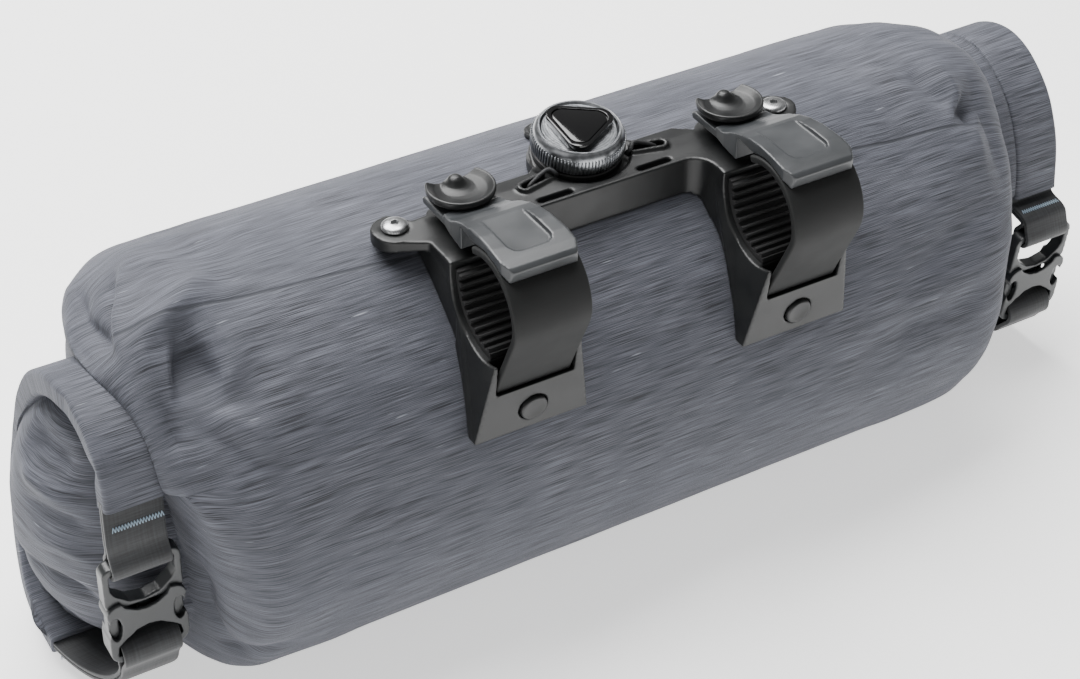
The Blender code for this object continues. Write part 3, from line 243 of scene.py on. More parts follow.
# Latch lever from the bar's middle. Its top from the tongue forward: (back, up). What is cut
# away beside it, seen from above: (away from its middle, back)
LEVER_TOP = (
    (33.5, 12.9), (30.0, 13.3), (27.0, 14.6), (22.5, 17.3), (17.0, 19.7), (11.5, 21.2), (5, 22.0),
    (-3, 22.0), (-8.6, 21.2), (-12.0, 20.2), (-13.3, 19.0),
)
LEVER_SIDE = (
    (10.2, 60), (10.2, 33), (11.2, 27.5), (12.4, 14), (13.4, -4), (13.4, -9), (11.6, -12.8),
    (8, -14.5), (8, -20), (20, -20), (20, 60),
)

# Top of the bracket's plate: (millimetres in front of its seat, height over it)
PLATE_TOP = (
    (-58, 12.6), (-46, 14.0), (-36, 15.6), (-26, 17.0), (-15.3, 18.0), (-6, 17.0), (-1.5, 17.0),
    (7, 17.2), (14, 16.6),
)


# Camera
def place_camera():
    """The photograph's view: 30 degrees round from the front and 37.5 above, from 0.84 m away."""
    camera = bpy.data.cameras.new("photo_view")
    camera.lens = 76.7
    camera.sensor_width = 36
    camera.sensor_fit = "HORIZONTAL"
    holder = bpy.data.objects.new("photo_view", camera)
    bpy.context.scene.collection.objects.link(holder)
    eye = Vector((-335.68, -574.26, 504.27))
    aim = Vector((-4.1, 0.0, -4.2))
    holder.location = (eye + TUBE_CENTRE) * MM
    holder.rotation_euler = (aim - eye).to_track_quat("-Z", "Y").to_euler()
    bpy.context.scene.camera = holder


place_camera()


# Materials
def hex_colour(code):
    """Linear colour of an sRGB hex value."""
    parts = [int(code[here:here + 2], 16) / 255 for here in (1, 3, 5)]
    linear = [
        part / 12.92 if part <= 0.04045 else ((part + 0.055) / 1.055) ** 2.4 for part in parts]
    return (*linear, 1.0)


def add_node(tree, kind, inputs=None, **settings):
    """Adds a node, sets its settings, and fills each input with a value or a link."""
    node = tree.nodes.new(kind)
    for name, value in settings.items():
        setattr(node, name, value)
    for name, value in (inputs or {}).items():
        socket = node.inputs[name]
        if isinstance(value, bpy.types.NodeSocket):
            tree.links.new(value, socket)
        else:
            socket.default_value = value
    return node


def new_material(name, colour, roughness, metallic=0.0, ior=1.5):
    """Material with plain values on its shader's sockets, and its node tree and shader."""
    material = bpy.data.materials.new(name)
    material.use_nodes = True
    material.diffuse_color = hex_colour(colour)
    shader = material.node_tree.nodes["Principled BSDF"]
    shader.inputs["Base Color"].default_value = hex_colour(colour)
    shader.inputs["Roughness"].default_value = roughness
    shader.inputs["Metallic"].default_value = metallic
    if not metallic:
        shader.inputs["IOR"].default_value = ior
    return material, material.node_tree, shader


def stretched_noise(tree, place, size, detail=2.0, rough=0.5):
    """Noise whose grains have the given size in the place's own units along each axis."""
    scale = tuple(1 / length for length in size)
    scaled = add_node(tree, "ShaderNodeVectorMath", {0: place, 1: scale}, operation="MULTIPLY")
    grain = add_node(
        tree, "ShaderNodeTexNoise",
        {"Vector": scaled.outputs[0], "Scale": 1.0, "Detail": detail, "Roughness": rough})
    return grain.outputs[0]


def ranged(tree, value, low, high, to_low=0.0, to_high=1.0):
    """The span from low to high mapped to that from to_low to to_high, and held there."""
    node = add_node(
        tree, "ShaderNodeMapRange",
        {"Value": value, "From Min": low, "From Max": high, "To Min": to_low, "To Max": to_high})
    return node.outputs[0]


def calc(tree, operation, first, second=0.0):
    return add_node(tree, "ShaderNodeMath", {0: first, 1: second}, operation=operation).outputs[0]


def mixed(tree, share, first, second):
    blend = add_node(tree, "ShaderNodeMix", {0: share, 6: first, 7: second}, data_type="RGBA")
    return blend.outputs[2]


def raised(tree, shader, height, depth_mm, strength=1.0):
    """Relief too fine for the mesh."""
    bump = add_node(
        tree, "ShaderNodeBump", {"Height": height, "Strength": strength, "Distance": depth_mm * MM})
    tree.links.new(bump.outputs[0], shader.inputs["Normal"])


def heather_cloth():
    """Polyester canvas woven from two-tone slub yarn and coated inside: matt, blue-grey, with dark
    and pale streaks that run along the tube and a few thick pale yarns."""
    material, tree, shader = new_material("polyester_heather_canvas_woven", "#6f727a", 0.78)
    place = add_node(tree, "ShaderNodeUVMap", uv_map="cloth").outputs[0]
    # Yarns are 0.25 mm wide, which is too fine to show, so they are drawn in strands about twice
    # as wide and 30 mm long
    yarn = stretched_noise(tree, place, (17.0, 0.25, 1.0), 2.0, 0.6)
    broad = stretched_noise(tree, place, (34.0, 2.6, 1.0), 2.0)
    cloud = stretched_noise(tree, place, (45.0, 38.0, 1.0), 2.0)
    slub = stretched_noise(tree, place, (11.0, 0.9, 1.0), 0.0)
    cross = stretched_noise(tree, place, (0.8, 9.0, 1.0), 2.0)
    fine = calc(tree, "MULTIPLY", yarn, 0.78)
    tone = calc(tree, "ADD", fine, calc(tree, "MULTIPLY", broad, 0.22))
    light = ranged(tree, tone, 0.37, 0.63)
    colour = mixed(tree, light, hex_colour("#18191e"), hex_colour("#666872"))
    colour = mixed(tree, ranged(tree, cloud, 0.35, 0.7, 0.0, 0.35), colour, hex_colour("#3d404a"))
    colour = mixed(tree, ranged(tree, cross, 0.58, 0.8, 0.0, 0.18), colour, hex_colour("#2c2e33"))
    colour = mixed(tree, ranged(tree, slub, 0.82, 0.92, 0.0, 0.7), colour, hex_colour("#a5a9b2"))
    # The lap seam is a fine dark line that slants from the left end up to the bracket and beyond
    parts = add_node(tree, "ShaderNodeSeparateXYZ", {0: place})
    slant = calc(tree, "MULTIPLY", parts.outputs[0], SEAM_SLANT)
    off = calc(tree, "SUBTRACT", calc(tree, "ADD", parts.outputs[1], slant), SEAM_ROUND)
    line = ranged(tree, calc(tree, "ABSOLUTE", off), 0.25, 0.75, 1.0, 0.0)
    colour = mixed(tree, calc(tree, "MULTIPLY", line, 0.75), colour, hex_colour("#2b2d33"))
    tree.links.new(colour, shader.inputs["Base Color"])
    ridge = calc(tree, "MULTIPLY", yarn, 0.7)
    height = calc(tree, "ADD", ridge, calc(tree, "MULTIPLY", cross, 0.15))
    height = calc(tree, "SUBTRACT", height, calc(tree, "MULTIPLY", line, 0.8))
    raised(tree, shader, height, 0.35, 0.7)
    shader.inputs["Sheen Weight"].default_value = 0.12
    shader.inputs["Sheen Roughness"].default_value = 0.5
    shader.inputs["Sheen Tint"].default_value = hex_colour("#b4b6be")
    return material


def polyester_webbing():
    """Polyester webbing, woven flat: near black with fine cross ribs and a soft sheen."""
    material, tree, shader = new_material("polyester_webbing_woven", "#1c1d20", 0.62)
    place = add_node(tree, "ShaderNodeUVMap", uv_map="cloth").outputs[0]
    ribs = stretched_noise(tree, place, (9.0, 0.55, 1.0), 1.0)
    warp = stretched_noise(tree, place, (0.7, 14.0, 1.0), 1.0)
    weave = calc(tree, "ADD", calc(tree, "MULTIPLY", ribs, 0.5), calc(tree, "MULTIPLY", warp, 0.5))
    light = ranged(tree, weave, 0.35, 0.65)
    colour = mixed(tree, light, hex_colour("#121315"), hex_colour("#26282b"))
    tree.links.new(colour, shader.inputs["Base Color"])
    raised(tree, shader, weave, 0.2, 0.6)
    shader.inputs["Sheen Weight"].default_value = 0.2
    return material


def moulded_plastic(name, dark, light, roughness, grain_mm, wear, shine=0.5):
    """Injection-moulded plastic: fine spark-eroded grain, a faint cloud in the colour, and gloss
    that varies a little where hands polish it."""
    material, tree, shader = new_material(name, dark, roughness, ior=1.53)
    place = add_node(tree, "ShaderNodeTexCoord").outputs["Object"]
    grain = stretched_noise(tree, place, (grain_mm * MM,) * 3, 2.0)
    cloud = stretched_noise(tree, place, (14 * MM, 11 * MM, 14 * MM), 3.0)
    colour = mixed(tree, ranged(tree, cloud, 0.3, 0.7), hex_colour(dark), hex_colour(light))
    tree.links.new(colour, shader.inputs["Base Color"])
    gloss = ranged(tree, cloud, 0.3, 0.7, roughness - wear, roughness + wear)
    tree.links.new(gloss, shader.inputs["Roughness"])
    raised(tree, shader, grain, 0.06, 0.35)
    shader.inputs["Specular IOR Level"].default_value = shine
    return material


def turned_metal(name, dark, light, roughness, line_mm, axis_point):
    """Metal or metallised knob, turned: fine rings round its axis."""
    material, tree, shader = new_material(name, light, roughness, 1.0)
    place = add_node(tree, "ShaderNodeTexCoord").outputs["Object"]
    centred = add_node(
        tree, "ShaderNodeVectorMath", {0: place, 1: tuple(-axis_point)}, operation="ADD")
    flat = add_node(
        tree, "ShaderNodeVectorMath", {0: centred.outputs[0], 1: (1.0, 1.0, 0.0)},
        operation="MULTIPLY")
    away = add_node(tree, "ShaderNodeVectorMath", {0: flat.outputs[0]}, operation="LENGTH")
    turns = calc(tree, "MULTIPLY", away.outputs["Value"], 2 * math.pi / (line_mm * MM))
    rings = calc(tree, "SINE", turns)
    speck = stretched_noise(tree, place, (2 * MM,) * 3, 3.0)
    tone = calc(tree, "ADD", calc(tree, "MULTIPLY", rings, 0.15), speck)
    colour = mixed(tree, ranged(tree, tone, 0.3, 0.75), hex_colour(dark), hex_colour(light))
    tree.links.new(colour, shader.inputs["Base Color"])
    raised(tree, shader, rings, 0.01, 0.3)
    return material


# Lap seam on the flat cloth, in millimetres: it is this far round at the tube's middle, and rises
# by this share of the way along
SEAM_ROUND = (FOLD_TOP_DEG - 116) / SEAM_STEP_DEG * LOOP_LENGTH / LOOP_POINTS
SEAM_SLANT = 13.0 / SEAM_STEP_DEG * (LOOP_LENGTH / LOOP_POINTS) / 232

CLOTH = heather_cloth()
WEBBING = polyester_webbing()
BRACKET_NYLON = moulded_plastic(
    "glass_filled_nylon_moulded", "#101112", "#181919", 0.42, 0.5, 0.06, 0.42)
LEVER_NYLON = moulded_plastic("grey_nylon_moulded", "#2c2e30", "#36383a", 0.36, 0.5, 0.05)
BUCKLE_ACETAL = moulded_plastic("acetal_moulded", "#232526", "#2d2f31", 0.34, 0.4, 0.05)
STRAP_RUBBER = moulded_plastic("tpe_rubber_moulded", "#0f1010", "#151616", 0.66, 0.6, 0.05, 0.3)
PAD_RUBBER = moulded_plastic("epdm_rubber_moulded", "#0c0c0d", "#131314", 0.7, 0.6, 0.05)
CAP_BLACK = moulded_plastic("abs_polished_black", "#060607", "#0a0a0b", 0.08, 2.0, 0.02)
STITCH_THREAD = moulded_plastic("polyester_thread_twisted", "#7f93a3", "#a9b9c6", 0.6, 0.3, 0.05)
LACE_CORD = moulded_plastic("polyester_cord_braided", "#101011", "#232427", 0.7, 0.7, 0.05)


# Mesh tools
def to_frame(points):
    """Points in the frame's metres, from millimetres about the tube's centre."""
    return (np.asarray(points, float) + np.array(TUBE_CENTRE)) * MM


def show(name, mesh, material, smooth_deg=40):
    """Object for a mesh, shaded smooth apart from edges sharper than smooth_deg."""
    mesh.materials.clear()
    mesh.materials.append(material)
    mesh.shade_smooth()
    if smooth_deg < 180:
        mesh.set_sharp_from_angle(angle=math.radians(smooth_deg))
    obj = bpy.data.objects.new(name, mesh)
    bpy.context.scene.collection.objects.link(obj)
    return obj


def outward(mesh):
    """Point all faces outward."""
    shape = bmesh.new()
    shape.from_mesh(mesh)
    bmesh.ops.recalc_face_normals(shape, faces=shape.faces)
    shape.to_mesh(mesh)
    shape.free()
    return mesh


def skin(name, grid, cloth, material, smooth_deg=180, zipped=False):
    """Closed skin through rings of points. cloth is each point's place on the flat material, with
    one more column than the grid, so that the pattern meets at the seam. A zipped end is closed
    between its two lips, which have as many points each."""
    rings, count = grid.shape[:2]
    ring, here = np.meshgrid(np.arange(rings - 1), np.arange(count), indexing="ij")
    after = (here + 1) % count
    corners = np.stack((
        ring * count + here, ring * count + after, (ring + 1) * count + after,
        (ring + 1) * count + here), -1).reshape(-1, 4)
    flat = np.stack((
        cloth[ring, here], cloth[ring, here + 1], cloth[ring + 1, here + 1],
        cloth[ring + 1, here]), -2)
    faces = corners.tolist()
    caps = [list(range(count))]
    if zipped:
        half = count // 2
        caps = [[0, 1, count - 1], [half - 1, half, half + 1]]
        caps += [[step, step + 1, count - step - 1, count - step] for step in range(1, half - 1)]
    places = [flat.reshape(-1, 2)]
    for start in (0, rings - 1):
        faces += [[start * count + step for step in cap] for cap in caps]
        places += [cloth[start, cap] for cap in caps]
    mesh = bpy.data.meshes.new(name)
    mesh.from_pydata(to_frame(grid.reshape(-1, 3)).tolist(), [], faces)
    layer = mesh.uv_layers.new(name="cloth")
    layer.data.foreach_set("uv", np.concatenate(places).astype(np.float32).ravel())
    return show(name, outward(mesh), material, smooth_deg)


def slab(name, outline, half_thickness, turn, material=None):
    """Flat outline in millimetres, thickened both ways along the frame's third axis."""
    count = len(outline)
    points = [turn @ Vector((x, y, half_thickness)) for x, y in outline]
    points += [turn @ Vector((x, y, -half_thickness)) for x, y in outline]
    faces = [list(range(count)), list(range(2 * count - 1, count - 1, -1))]
    for here in range(count):
        after = (here + 1) % count
        faces.append([here, after, after + count, here + count])
    mesh = bpy.data.meshes.new(name)
    mesh.from_pydata(to_frame([tuple(point) for point in points]).tolist(), [], faces)
    return show(name, outward(mesh), material or BRACKET_NYLON, 30)


def turned(name, profile, turn, sides, material=None, smooth_deg=35):
    """Solid turned about the frame's third axis from (radius, height) points, top to bottom."""
    points = []
    faces = []
    for radius, height in profile:
        for side in range(sides):
            angle = 2 * math.pi * side / sides
            flat = (radius * math.cos(angle), radius * math.sin(angle))
            points.append(turn @ Vector((*flat, height)))
    for ring in range(len(profile) - 1):
        for side in range(sides):
            after = (side + 1) % sides
            faces.append([ring * sides + side, ring * sides + after,
                          (ring + 1) * sides + after, (ring + 1) * sides + side])
    mesh = bpy.data.meshes.new(name)
    mesh.from_pydata(to_frame([tuple(point) for point in points]).tolist(), [], faces)
    shape = bmesh.new()
    shape.from_mesh(mesh)
    bmesh.ops.remove_doubles(shape, verts=shape.verts, dist=0.005 * MM)
    bmesh.ops.holes_fill(shape, edges=shape.edges, sides=0)
    bmesh.ops.recalc_face_normals(shape, faces=shape.faces)
    shape.to_mesh(mesh)
    shape.free()
    return show(name, mesh, material or BRACKET_NYLON, smooth_deg)


def drum(name, radius, top, low, turn, sides=40):
    """Plain round tool between two heights along the frame's third axis."""
    return turned(name, ((0, top), (radius, top), (radius, low), (0, low)), turn, sides)


def combine(obj, others, operation, solver="MANIFOLD"):
    """Join or cut with each of the others, which are then removed."""
    for other in others:
        step = obj.modifiers.new(operation, "BOOLEAN")
        step.operation = operation
        step.solver = solver
        step.object = other
        settle(obj)
    for other in others:
        bpy.data.objects.remove(other, do_unlink=True)
    return obj


def settle(obj):
    """Turn all modifiers into plain mesh."""
    bpy.context.view_layer.update()
    graph = bpy.context.evaluated_depsgraph_get()
    mesh = bpy.data.meshes.new_from_object(obj.evaluated_get(graph))
    obj.modifiers.clear()
    material = obj.data.materials[0]
    obj.data = mesh
    mesh.materials.clear()
    mesh.materials.append(material)
    return obj


def mould(obj, voxel, relax, keep):
    """Round all edges as a mould leaves them: remesh evenly, relax, and thin out what is flat."""
    even = obj.modifiers.new("even", "REMESH")
    even.mode = "VOXEL"
    even.voxel_size = voxel * MM
    soften = obj.modifiers.new("soften", "SMOOTH")
    soften.factor = 0.5
    soften.iterations = relax
    thin = obj.modifiers.new("thin", "DECIMATE")
    thin.ratio = keep
    settle(obj)
    obj.data.shade_smooth()
    return obj


def bevelled(obj, width, segments=2, angle_deg=35):
    """Round the sharp edges of a piece."""
    bevel = obj.modifiers.new("edges", "BEVEL")
    bevel.width = width * MM
    bevel.segments = segments
    bevel.limit_method = "ANGLE"
    bevel.angle_limit = math.radians(angle_deg)
    bevel.harden_normals = False
    settle(obj)
    obj.data.shade_smooth()
    obj.data.set_sharp_from_angle(angle=math.radians(50))
    return obj


def side_frame(x):
    """Frame whose plane is YZ at x, with its thickness along X."""
    return Matrix(((0, 0, 1, x), (1, 0, 0, 0), (0, 1, 0, 0), (0, 0, 0, 1)))


def axis_frame(origin, across, up):
    """Frame at a point, from its first axis and the side that its second axis is on."""
    across = Vector(across).normalized()
    third = across.cross(Vector(up)).normalized()
    columns = Matrix((across, third.cross(across), third)).transposed()
    return Matrix.Translation(Vector(origin)) @ columns.to_4x4()


def arc(centre, radius, from_deg, to_deg, steps):
    """Points of an arc, both ends included."""
    points = []
    for step in range(steps + 1):
        angle = math.radians(from_deg + (to_deg - from_deg) * step / steps)
        points.append((centre[0] + radius * math.cos(angle), centre[1] + radius * math.sin(angle)))
    return points


def stadium(centre, half_length, radius, steps=8):
    points = arc((centre[0] + half_length - radius, centre[1]), radius, -90, 90, steps)
    return points + arc((centre[0] - half_length + radius, centre[1]), radius, 90, 270, steps)


def rounded_box(half_width, low, high, corner, steps=6):
    points = arc((half_width - corner, high - corner), corner, 0, 90, steps)
    points += arc((-half_width + corner, high - corner), corner, 90, 180, steps)
    points += arc((-half_width + corner, low + corner), corner, 180, 270, steps)
    return points + arc((half_width - corner, low + corner), corner, 270, 360, steps)


def eased(rows, values):
    """Second column of a two-column table, easing from row to row."""
    table = np.array(rows, float)
    here = np.clip(np.searchsorted(table[:, 0], values, side="right") - 1, 0, len(table) - 2)
    share = (values - table[here, 0]) / (table[here + 1, 0] - table[here, 0])
    share = share * share * (3 - 2 * share)
    return table[here, 1] + (table[here + 1, 1] - table[here, 1]) * share


def along_rows(rows, shares):
    """Points at shares of the way along a smooth curve through all rows."""
    table = np.array(rows, float)
    last = len(table) - 1
    shares = np.asarray(shares, float) * last
    here = np.clip(shares.astype(int), 0, last - 1)
    local = (shares - here)[..., None]
    before = table[np.maximum(here - 1, 0)]
    first = table[here]
    second = table[here + 1]
    after = table[np.minimum(here + 2, last)]
    rest = 1 - local
    return (first * rest * rest * (1 + 2 * local) + second * local * local * (3 - 2 * local)
            + (second - before) / 2 * local * rest * rest
            - (after - first) / 2 * local * local * rest)


def turn_left(directions):
    """Flat directions turned a quarter turn to the left."""
    return np.stack((-directions[..., 1], directions[..., 0]), -1)


def unit(vectors):
    return vectors / np.maximum(np.linalg.norm(vectors, axis=-1, keepdims=True), 1e-9)


# Cloth
def tube_section(angle_deg):
    """Point (y, z) of the tube's section, flattened where the bag lies on the floor."""
    radius = eased(SECTION, np.mod(angle_deg, 360.0)) * BAG_RADIUS
    angle = np.radians(angle_deg)
    low = -FLOOR_SHARE * BAG_RADIUS
    return np.stack((radius * np.cos(angle), np.maximum(radius * np.sin(angle), low)), -1)


def patch(loop, centre, half_points, stage, middle, half_stage):
    """Strength of a soft round patch on an end: 1 at its middle, fading to 0 around it."""
    gap = np.mod(loop - centre + LOOP_POINTS / 2, LOOP_POINTS) - LOOP_POINTS / 2
    return np.exp(-((gap / half_points) ** 2 + ((stage - middle) / half_stage) ** 2))


class End:
    """One end of the bag: its shoulder, mouth, rolled band and buckle."""

    def __init__(self, name, side, ring, lengths, squareness, pillow, skew, buckle_top, lean_deg):
        self.name = name
        self.side = side
        self.rows = ring
        self.shoulder, self.dome, self.neck = lengths
        self.squareness = squareness
        self.pillow = pillow
        self.skew = skew
        self.buckle_top = buckle_top
        self.lean_deg = lean_deg

    def ring_x(self, shares):
        reach = self.shoulder + self.dome + self.neck + CLEARANCE + ROLL_WIDTH / 2
        return self.side * (reach + self.skew * along_rows(self.rows, shares)[..., 2])

    def ring_centre(self, shares):
        half_sizes = np.array((RING_HALF_DEPTH, RING_HALF_HEIGHT))
        return along_rows(self.rows, shares)[..., :2] * half_sizes

    def ring_along(self, shares):
        ahead = self.ring_centre(np.minimum(np.asarray(shares) + 0.004, 1.0))
        return unit(ahead - self.ring_centre(np.maximum(np.asarray(shares) - 0.004, 0.0)))

    def ring_point(self, shares, away):
        out = turn_left(self.ring_along(shares))
        return self.ring_centre(shares) + out * np.asarray(away)[..., None]

    def mouth(self, loop):
        """Share along the band and lip side for places round the loop: the lip turns at a fold."""
        outer = loop <= OUTER_POINTS
        inner_share = (LOOP_POINTS - loop) / (LOOP_POINTS - OUTER_POINTS)
        share = np.where(outer, loop / OUTER_POINTS, inner_share)
        from_top = np.where(loop < LOOP_POINTS / 2, loop, loop - LOOP_POINTS)
        from_low = OUTER_POINTS - loop
        near = np.where(np.abs(from_top) < np.abs(from_low), from_top, from_low)
        return share, np.sin(np.clip(near / 0.7, -1, 1) * math.pi / 2)

    def loop(self, stage, loop):
        """Loop of the shell: stage 0 is the shoulder, 1 the neck's root and 2 the mouth."""
        dome_stage = min(stage, 1.0)
        inward = 1 - math.cos(dome_stage * math.pi / 2)
        outward_share = math.sin(dome_stage * math.pi / 2) ** self.squareness
        hold = min((1 - dome_stage) * 4, 1.0)
        tube = tube_section(FOLD_TOP_DEG - SEAM_STEP_DEG * loop)
        share, lip_side = self.mouth(loop)
        lip = self.ring_point(share, lip_side * (LIP_GAP / 2 + FABRIC_WALL))
        place = tube * (1 - inward) + lip * inward
        reach = self.shoulder + self.dome * outward_share + self.neck * max(stage - 1, 0.0)
        reach = reach + self.skew * along_rows(self.rows, share)[..., 2] * inward ** 2
        across = (place[:, 0] / RING_HALF_DEPTH - PILLOW_CENTRE[0]) / PILLOW_HALF[0]
        up = (place[:, 1] / RING_HALF_HEIGHT - PILLOW_CENTRE[1]) / PILLOW_HALF[1]
        bulge = np.clip(1 - across ** 2 - up ** 2, 0, None) ** 0.4 * (loop > OUTER_POINTS)
        reach = reach + self.pillow * bulge
        for side, centre, half_points, middle, half_stage, extra in SWELLS:
            if side == self.side:
                near = patch(loop, centre, half_points, min(stage, 1.3), middle, half_stage)
                reach = reach + extra * near * min((2 - stage) * 1.5, 1.0)
        for side, centre, half_points, middle, half_stage, depth in FOLDS:
            if side == self.side:
                near = patch(loop, centre, half_points, dome_stage, middle, half_stage)
                place = place * (1 - depth * hold * near)[:, None]
        place[:, 1] = np.maximum(place[:, 1], -FLOOR_SHARE * BAG_RADIUS)
        return np.column_stack((self.side * reach, place))


LEFT_END = End("left", -1, LEFT_RING, (136, 29.5, 1.5), 0.6, 36, 16, (-1.11, 0.2), 4.0)
RIGHT_END = End("right", 1, RIGHT_RING, (134, 47, 8), 0.8, 0, 0, (-0.8, -0.06), 7.0)


def crease_height(grid, creases):
    """Height of all creases at each point of a surface: each fades out toward its two ends."""
    total = np.zeros(grid.shape[:-1])
    for height, half_width, places in creases:
        rows = along_rows(places, np.linspace(0, 1, 8 * len(places)))
        steps = np.linalg.norm(np.diff(rows, axis=0), axis=1)
        travelled = np.concatenate(((0.0,), np.cumsum(steps)))
        nearest = np.full(total.shape, 1e9)
        way = np.zeros(total.shape)
        for first, second, start, length in zip(rows, rows[1:], travelled, steps):
            offset = grid - first
            direction = (second - first) / length
            on = np.clip(offset @ direction, 0, length)
            distance = np.linalg.norm(offset - on[..., None] * direction, axis=-1)
            closer = distance < nearest
            nearest = np.where(closer, distance, nearest)
            way = np.where(closer, (start + on) / travelled[-1], way)
        fade = np.clip(np.minimum(way, 1 - way) / 0.3, 0, 1)
        fade = fade * fade * (3 - 2 * fade)
        # A narrow crease has a sharp bottom, and a wide one is round
        power = 1.3 if half_width < 6 else 2
        total += height * (0.15 + 0.85 * fade) * np.exp(-(nearest / half_width) ** power)
    return total


def grid_normals(grid):
    """Outward direction at each point of a skin's rings."""
    along = np.gradient(grid, axis=0)
    wrapped = np.concatenate((grid[:, -1:], grid, grid[:, :1]), axis=1)
    around = (wrapped[:, 2:] - wrapped[:, :-2]) / 2
    return unit(np.cross(along, around))


def cloth_round(points, loop, stage):
    """Place round the flat cloth, so that the yarns keep running along the tube over the ends."""
    nominal = FOLD_TOP_DEG - SEAM_STEP_DEG * loop
    actual = np.degrees(np.arctan2(points[:, 2], points[:, 1]))
    gap = np.mod(actual - nominal + 180, 360) - 180
    share = min(stage / 0.5, 1.0)
    share = share * share * (3 - 2 * share)
    by_angle = np.radians(FOLD_TOP_DEG - nominal - share * gap) * BAG_RADIUS
    height = np.arcsin(np.clip(points[:, 2] / BAG_RADIUS, -1, 1))
    by_height = (math.radians(330) + height) * BAG_RADIUS
    plain = np.radians(FOLD_TOP_DEG - nominal) * BAG_RADIUS
    return np.where(loop <= OUTER_POINTS, by_angle, plain + (by_height - plain) * share)


def bag_grid(half_count=144):
    """Rings of the cloth shell from mouth to mouth, and each point's place on the flat cloth."""
    loop = np.concatenate((
        np.linspace(0, OUTER_POINTS, half_count + 1)[:-1],
        np.linspace(OUTER_POINTS, LOOP_POINTS, half_count + 1)[:-1]))
    stages = np.concatenate((np.linspace(0, 1, 60), np.linspace(1, 2, 5)[1:]))
    middle = np.linspace(-LEFT_END.shoulder, RIGHT_END.shoulder, 60)[1:-1]
    section = tube_section(FOLD_TOP_DEG - SEAM_STEP_DEG * loop)
    grid = [LEFT_END.loop(stage, loop) for stage in stages[::-1]]
    grid += [np.column_stack((np.full(len(loop), x), section)) for x in middle]
    grid += [RIGHT_END.loop(stage, loop) for stage in stages]
    grid = np.array(grid)
    steps = np.linalg.norm(np.diff(grid, axis=0), axis=-1)
    along = np.concatenate((np.zeros((1, len(loop))), np.cumsum(steps, axis=0)))
    along -= along[len(stages) - 1] + LEFT_END.shoulder
    every = [*stages[::-1], *np.zeros(len(middle)), *stages]
    around = np.array([cloth_round(points, loop, stage) for points, stage in zip(grid, every)])
    return grid, np.stack((along, around), -1)


def wrinkled(grid, creases, slack):
    """Move each point along its normal by the creases and by the slack of loose cloth, which
    rumples in waves of 26 mm and of 11 mm."""
    normals = grid_normals(grid)
    height = crease_height(grid, creases)
    rumple = np.array([
        noise.noise(Vector(point) / 26) + 0.45 * noise.noise(Vector(point) / 11)
        for point in grid.reshape(-1, 3)]).reshape(grid.shape[:2])
    return grid + normals * (height + rumple * slack)[..., None]


def make_bag_cloth():
    grid, cloth = bag_grid()
    # The middle is stretched smooth by its load, and the cloth slackens toward both ends
    beyond = np.clip((np.abs(grid[..., 0]) - 95) / 45, 0, 1)
    slack = 0.12 + 0.9 * beyond
    moved = wrinkled(grid, BAG_CREASES, slack)
    moved[..., 2] = np.maximum(moved[..., 2], -FLOOR_SHARE * BAG_RADIUS)
    for end in (0, -1):
        moved[end] = grid[end]
    closing = cloth[:, -1:] * 2 - cloth[:, -2:-1]
    bag = skin("bag_cloth", moved, np.concatenate((cloth, closing), 1), CLOTH, zipped=True)
    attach(bag, "bag")
    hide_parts("bag_body")


def make_band(end):
    """Rolled closure: several turns of cloth pressed flat round a stiffener."""
    stations = 150
    shares = np.linspace(0, 1, stations)
    half_width = ROLL_WIDTH / 2
    half_thickness = ROLL_THICKNESS / 2
    outline = rounded_box(half_width, -half_thickness, half_thickness, ROLL_EDGE, 5)
    across = np.array([x for x, _ in outline])
    away = np.array([y for _, y in outline])
    away = away + np.sign(away) * ROLL_CROWN * (1 - (across / half_width) ** 2)
    grid = np.zeros((stations, len(outline), 3))
    for here, share in enumerate(shares):
        points = end.ring_point(np.full(len(outline), share), away)
        grid[here, :, 0] = end.ring_x(share) + across
        grid[here, :, 1:] = points
    lengths = np.linalg.norm(np.diff(end.ring_centre(shares), axis=0), axis=1)
    along = np.concatenate(((0.0,), np.cumsum(lengths)))
    girth = np.concatenate(((0.0,), np.cumsum(np.hypot(np.diff(across), np.diff(away)))))
    total = girth[-1] + math.hypot(across[0] - across[-1], away[0] - away[-1])
    cloth = np.zeros((stations, len(outline) + 1, 2))
    cloth[..., 0] = np.append(girth, total)
    # Each band is cut from a length of cloth of its own, well away from the bag's
    cloth[..., 1] = along[:, None] + 900 + 300 * end.side
    moved = wrinkled(grid, BAND_CREASES[end.name], 0.25)
    band = skin("rolled_band_" + end.name, moved, cloth, CLOTH, 60)
    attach(band, "bag")
    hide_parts("roll_" + end.name)


# Repeated small parts
def thread_bar(name, sides=6):
    """Short round bar along X, one unit long and wide, with rounded ends."""
    rings = ((-0.5, 0.0), (-0.44, 0.34), (-0.25, 0.5), (0.25, 0.5), (0.44, 0.34), (0.5, 0.0))
    shape = bmesh.new()
    loops = []
    for x, radius in rings:
        if radius == 0:
            loops.append([shape.verts.new((x, 0, 0))])
        else:
            loops.append([shape.verts.new((
                x, radius * math.cos(2 * math.pi * side / sides),
                radius * math.sin(2 * math.pi * side / sides))) for side in range(sides)])
    for first, second in zip(loops, loops[1:]):
        for side in range(sides):
            after = (side + 1) % sides
            corners = [first[side % len(first)], first[after % len(first)],
                       second[after % len(second)], second[side % len(second)]]
            shape.faces.new(list(dict.fromkeys(corners)))
    bmesh.ops.recalc_face_normals(shape, faces=shape.faces)
    mesh = bpy.data.meshes.new(name)
    shape.to_mesh(mesh)
    shape.free()
    mesh.shade_smooth()
    obj = bpy.data.objects.new(name, mesh)
    bpy.context.scene.collection.objects.link(obj)
    return obj


